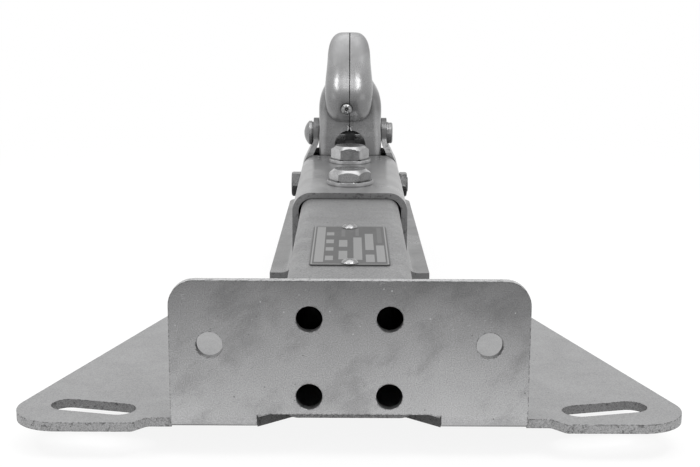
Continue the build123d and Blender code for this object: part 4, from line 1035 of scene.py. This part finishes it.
class COUPLER_OT_handle(bpy.types.Operator):
    """Dress the handle and what turns with it"""
    bl_idname = "coupler.handle"
    bl_label = "Handle"

    def execute(self, context):
        paint(["lever_shell"], "lever_zinc")
        paint(["lever_link_pin"], "bolt_zinc")
        low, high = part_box("lever_screw")
        reach = (high[0] - low[0]) / 2
        middle = ((low[0] + high[0]) / 2, (low[2] + high[2]) / 2)
        end = SCREW_HEAD_HEIGHT - (high[1] - low[1])
        shank = [(0.0, end), (SCREW_SHANK_RADIUS, end), (SCREW_SHANK_RADIUS, 0.0)]
        profile = shank + scaled(SCREW_HEAD, reach, SCREW_HEAD_HEIGHT)
        seat = (middle[0], low[1] + SCREW_HEAD_HEIGHT, middle[1])
        screw = turned("heel_screw", profile, seat, (0.0, -1.0, 0.0))
        dress(screw, "screw_bright", body="lever", stands_for=["lever_screw"])
        pin_low, pin_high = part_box("pivot_pin")
        rear_y = (pin_low[1] + pin_high[1]) / 2 - LEVER_REAR
        arch_top = (pin_low[2] + pin_high[2]) / 2 + ARCH_TOP_ABOVE_PIVOT
        paths = [[(SEAM_X + across, rear_y + LIP_RADIUS / 2, arch_top + up) for across, up in path]
                 for path in LIP_PATHS]
        lips = grown("seam_lips", weld_tree(), "lip_zinc", {
            "Radius": LIP_RADIUS, "Pitch": 8 * LIP_RADIUS, "Depth": 0.0}, paths)
        dress(lips, "lip_zinc", body="lever")
        return {"FINISHED"}


class COUPLER_OT_latch(bpy.types.Operator):
    """Dress the latch, its link and spring"""
    bl_idname = "coupler.latch"
    bl_label = "Latch and link"

    def execute(self, context):
        paint(["pull_link", "ball_latch"], "dark_forging")
        paint(["latch_link_pin"], "bolt_zinc")
        spring = solid_copy("latch_spring", "closing_spring")
        dress(spring, "spring_wire", stands_for=["latch_spring"])
        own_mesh(spring)
        return {"FINISHED"}


class COUPLER_OT_studio(bpy.types.Operator):
    """Floor, lamps, world and camera"""
    bl_idname = "coupler.studio"
    bl_label = "Studio"

    def execute(self, context):
        scene = context.scene
        scene.view_settings.view_transform = "Standard"
        floor_z = CAD_BOX[0][2]
        work = bmesh.new()
        corners = [work.verts.new((x * FLOOR_REACH, y * FLOOR_REACH, floor_z))
                   for x, y in ((-1, -1), (1, -1), (1, 1), (-1, 1))]
        work.faces.new(corners)
        floor = placed("studio_floor", mesh_from(work, "studio_floor"))
        floor.data.materials.append(floor_material())
        for name, lamp in LAMPS.items():
            light = bpy.data.lights.new(name, "AREA")
            light.energy = lamp["power"]
            light.shape = "ELLIPSE"
            light.size, light.size_y = lamp["size"]
            holder = placed(name, light)
            holder.location = lamp["place"]
            aim = Vector(LAMP_AIM) - Vector(lamp["place"])
            holder.rotation_mode = "QUATERNION"
            holder.rotation_quaternion = aim.to_track_quat("-Z", "Y")
        world = bpy.data.worlds.new("studio")
        scene.world = world
        world.use_nodes = True
        tree = world.node_tree
        backdrop = tree.nodes["Background"]
        level = remap(tree, seen_share(tree), 0.0, 1.0, WORLD_LEVEL, 1.0)
        tree.links.new(level, backdrop.inputs["Strength"])
        backdrop.inputs["Color"].default_value = grey(1.0)
        camera = bpy.data.cameras.new("camera")
        camera.lens = CAMERA_LENS
        camera.sensor_width = SENSOR_WIDTH
        camera.clip_start = 0.01
        eye = placed("camera", camera)
        eye.location = CAMERA_PLACE
        eye.rotation_euler = [math.radians(angle) for angle in CAMERA_TURN]
        scene.camera = eye
        return {"FINISHED"}


STEPS = (COUPLER_OT_bracket, COUPLER_OT_drawbar, COUPLER_OT_welds, COUPLER_OT_type_plate,
         COUPLER_OT_body, COUPLER_OT_fasteners, COUPLER_OT_handle, COUPLER_OT_latch, COUPLER_OT_studio)


class COUPLER_PT_sidebar(bpy.types.Panel):
    """Lists the coupler's steps, sizes and colours"""
    bl_idname = "COUPLER_PT_sidebar"
    bl_label = "Trailer coupler"
    bl_space_type = "VIEW_3D"
    bl_region_type = "UI"
    bl_category = "Coupler"

    def draw(self, context):
        for step in STEPS:
            self.layout.operator(step.bl_idname)
        for settings in (context.scene.coupler_finish, context.scene.coupler_details):
            for name in settings.__annotations__:
                self.layout.prop(settings, name)


CLASSES = (CouplerFinish, CouplerDetails, *STEPS, COUPLER_PT_sidebar)


def register():
    for kind in CLASSES:
        bpy.utils.register_class(kind)
    bpy.types.Scene.coupler_finish = PointerProperty(type=CouplerFinish)
    bpy.types.Scene.coupler_details = PointerProperty(type=CouplerDetails)


def unregister():
    del bpy.types.Scene.coupler_details
    del bpy.types.Scene.coupler_finish
    for kind in reversed(CLASSES):
        bpy.utils.unregister_class(kind)


def main():
    register()
    for step in STEPS:
        group, _, name = step.bl_idname.partition(".")
        getattr(getattr(bpy.ops, group), name)()


if __name__ == "__main__":
    main()
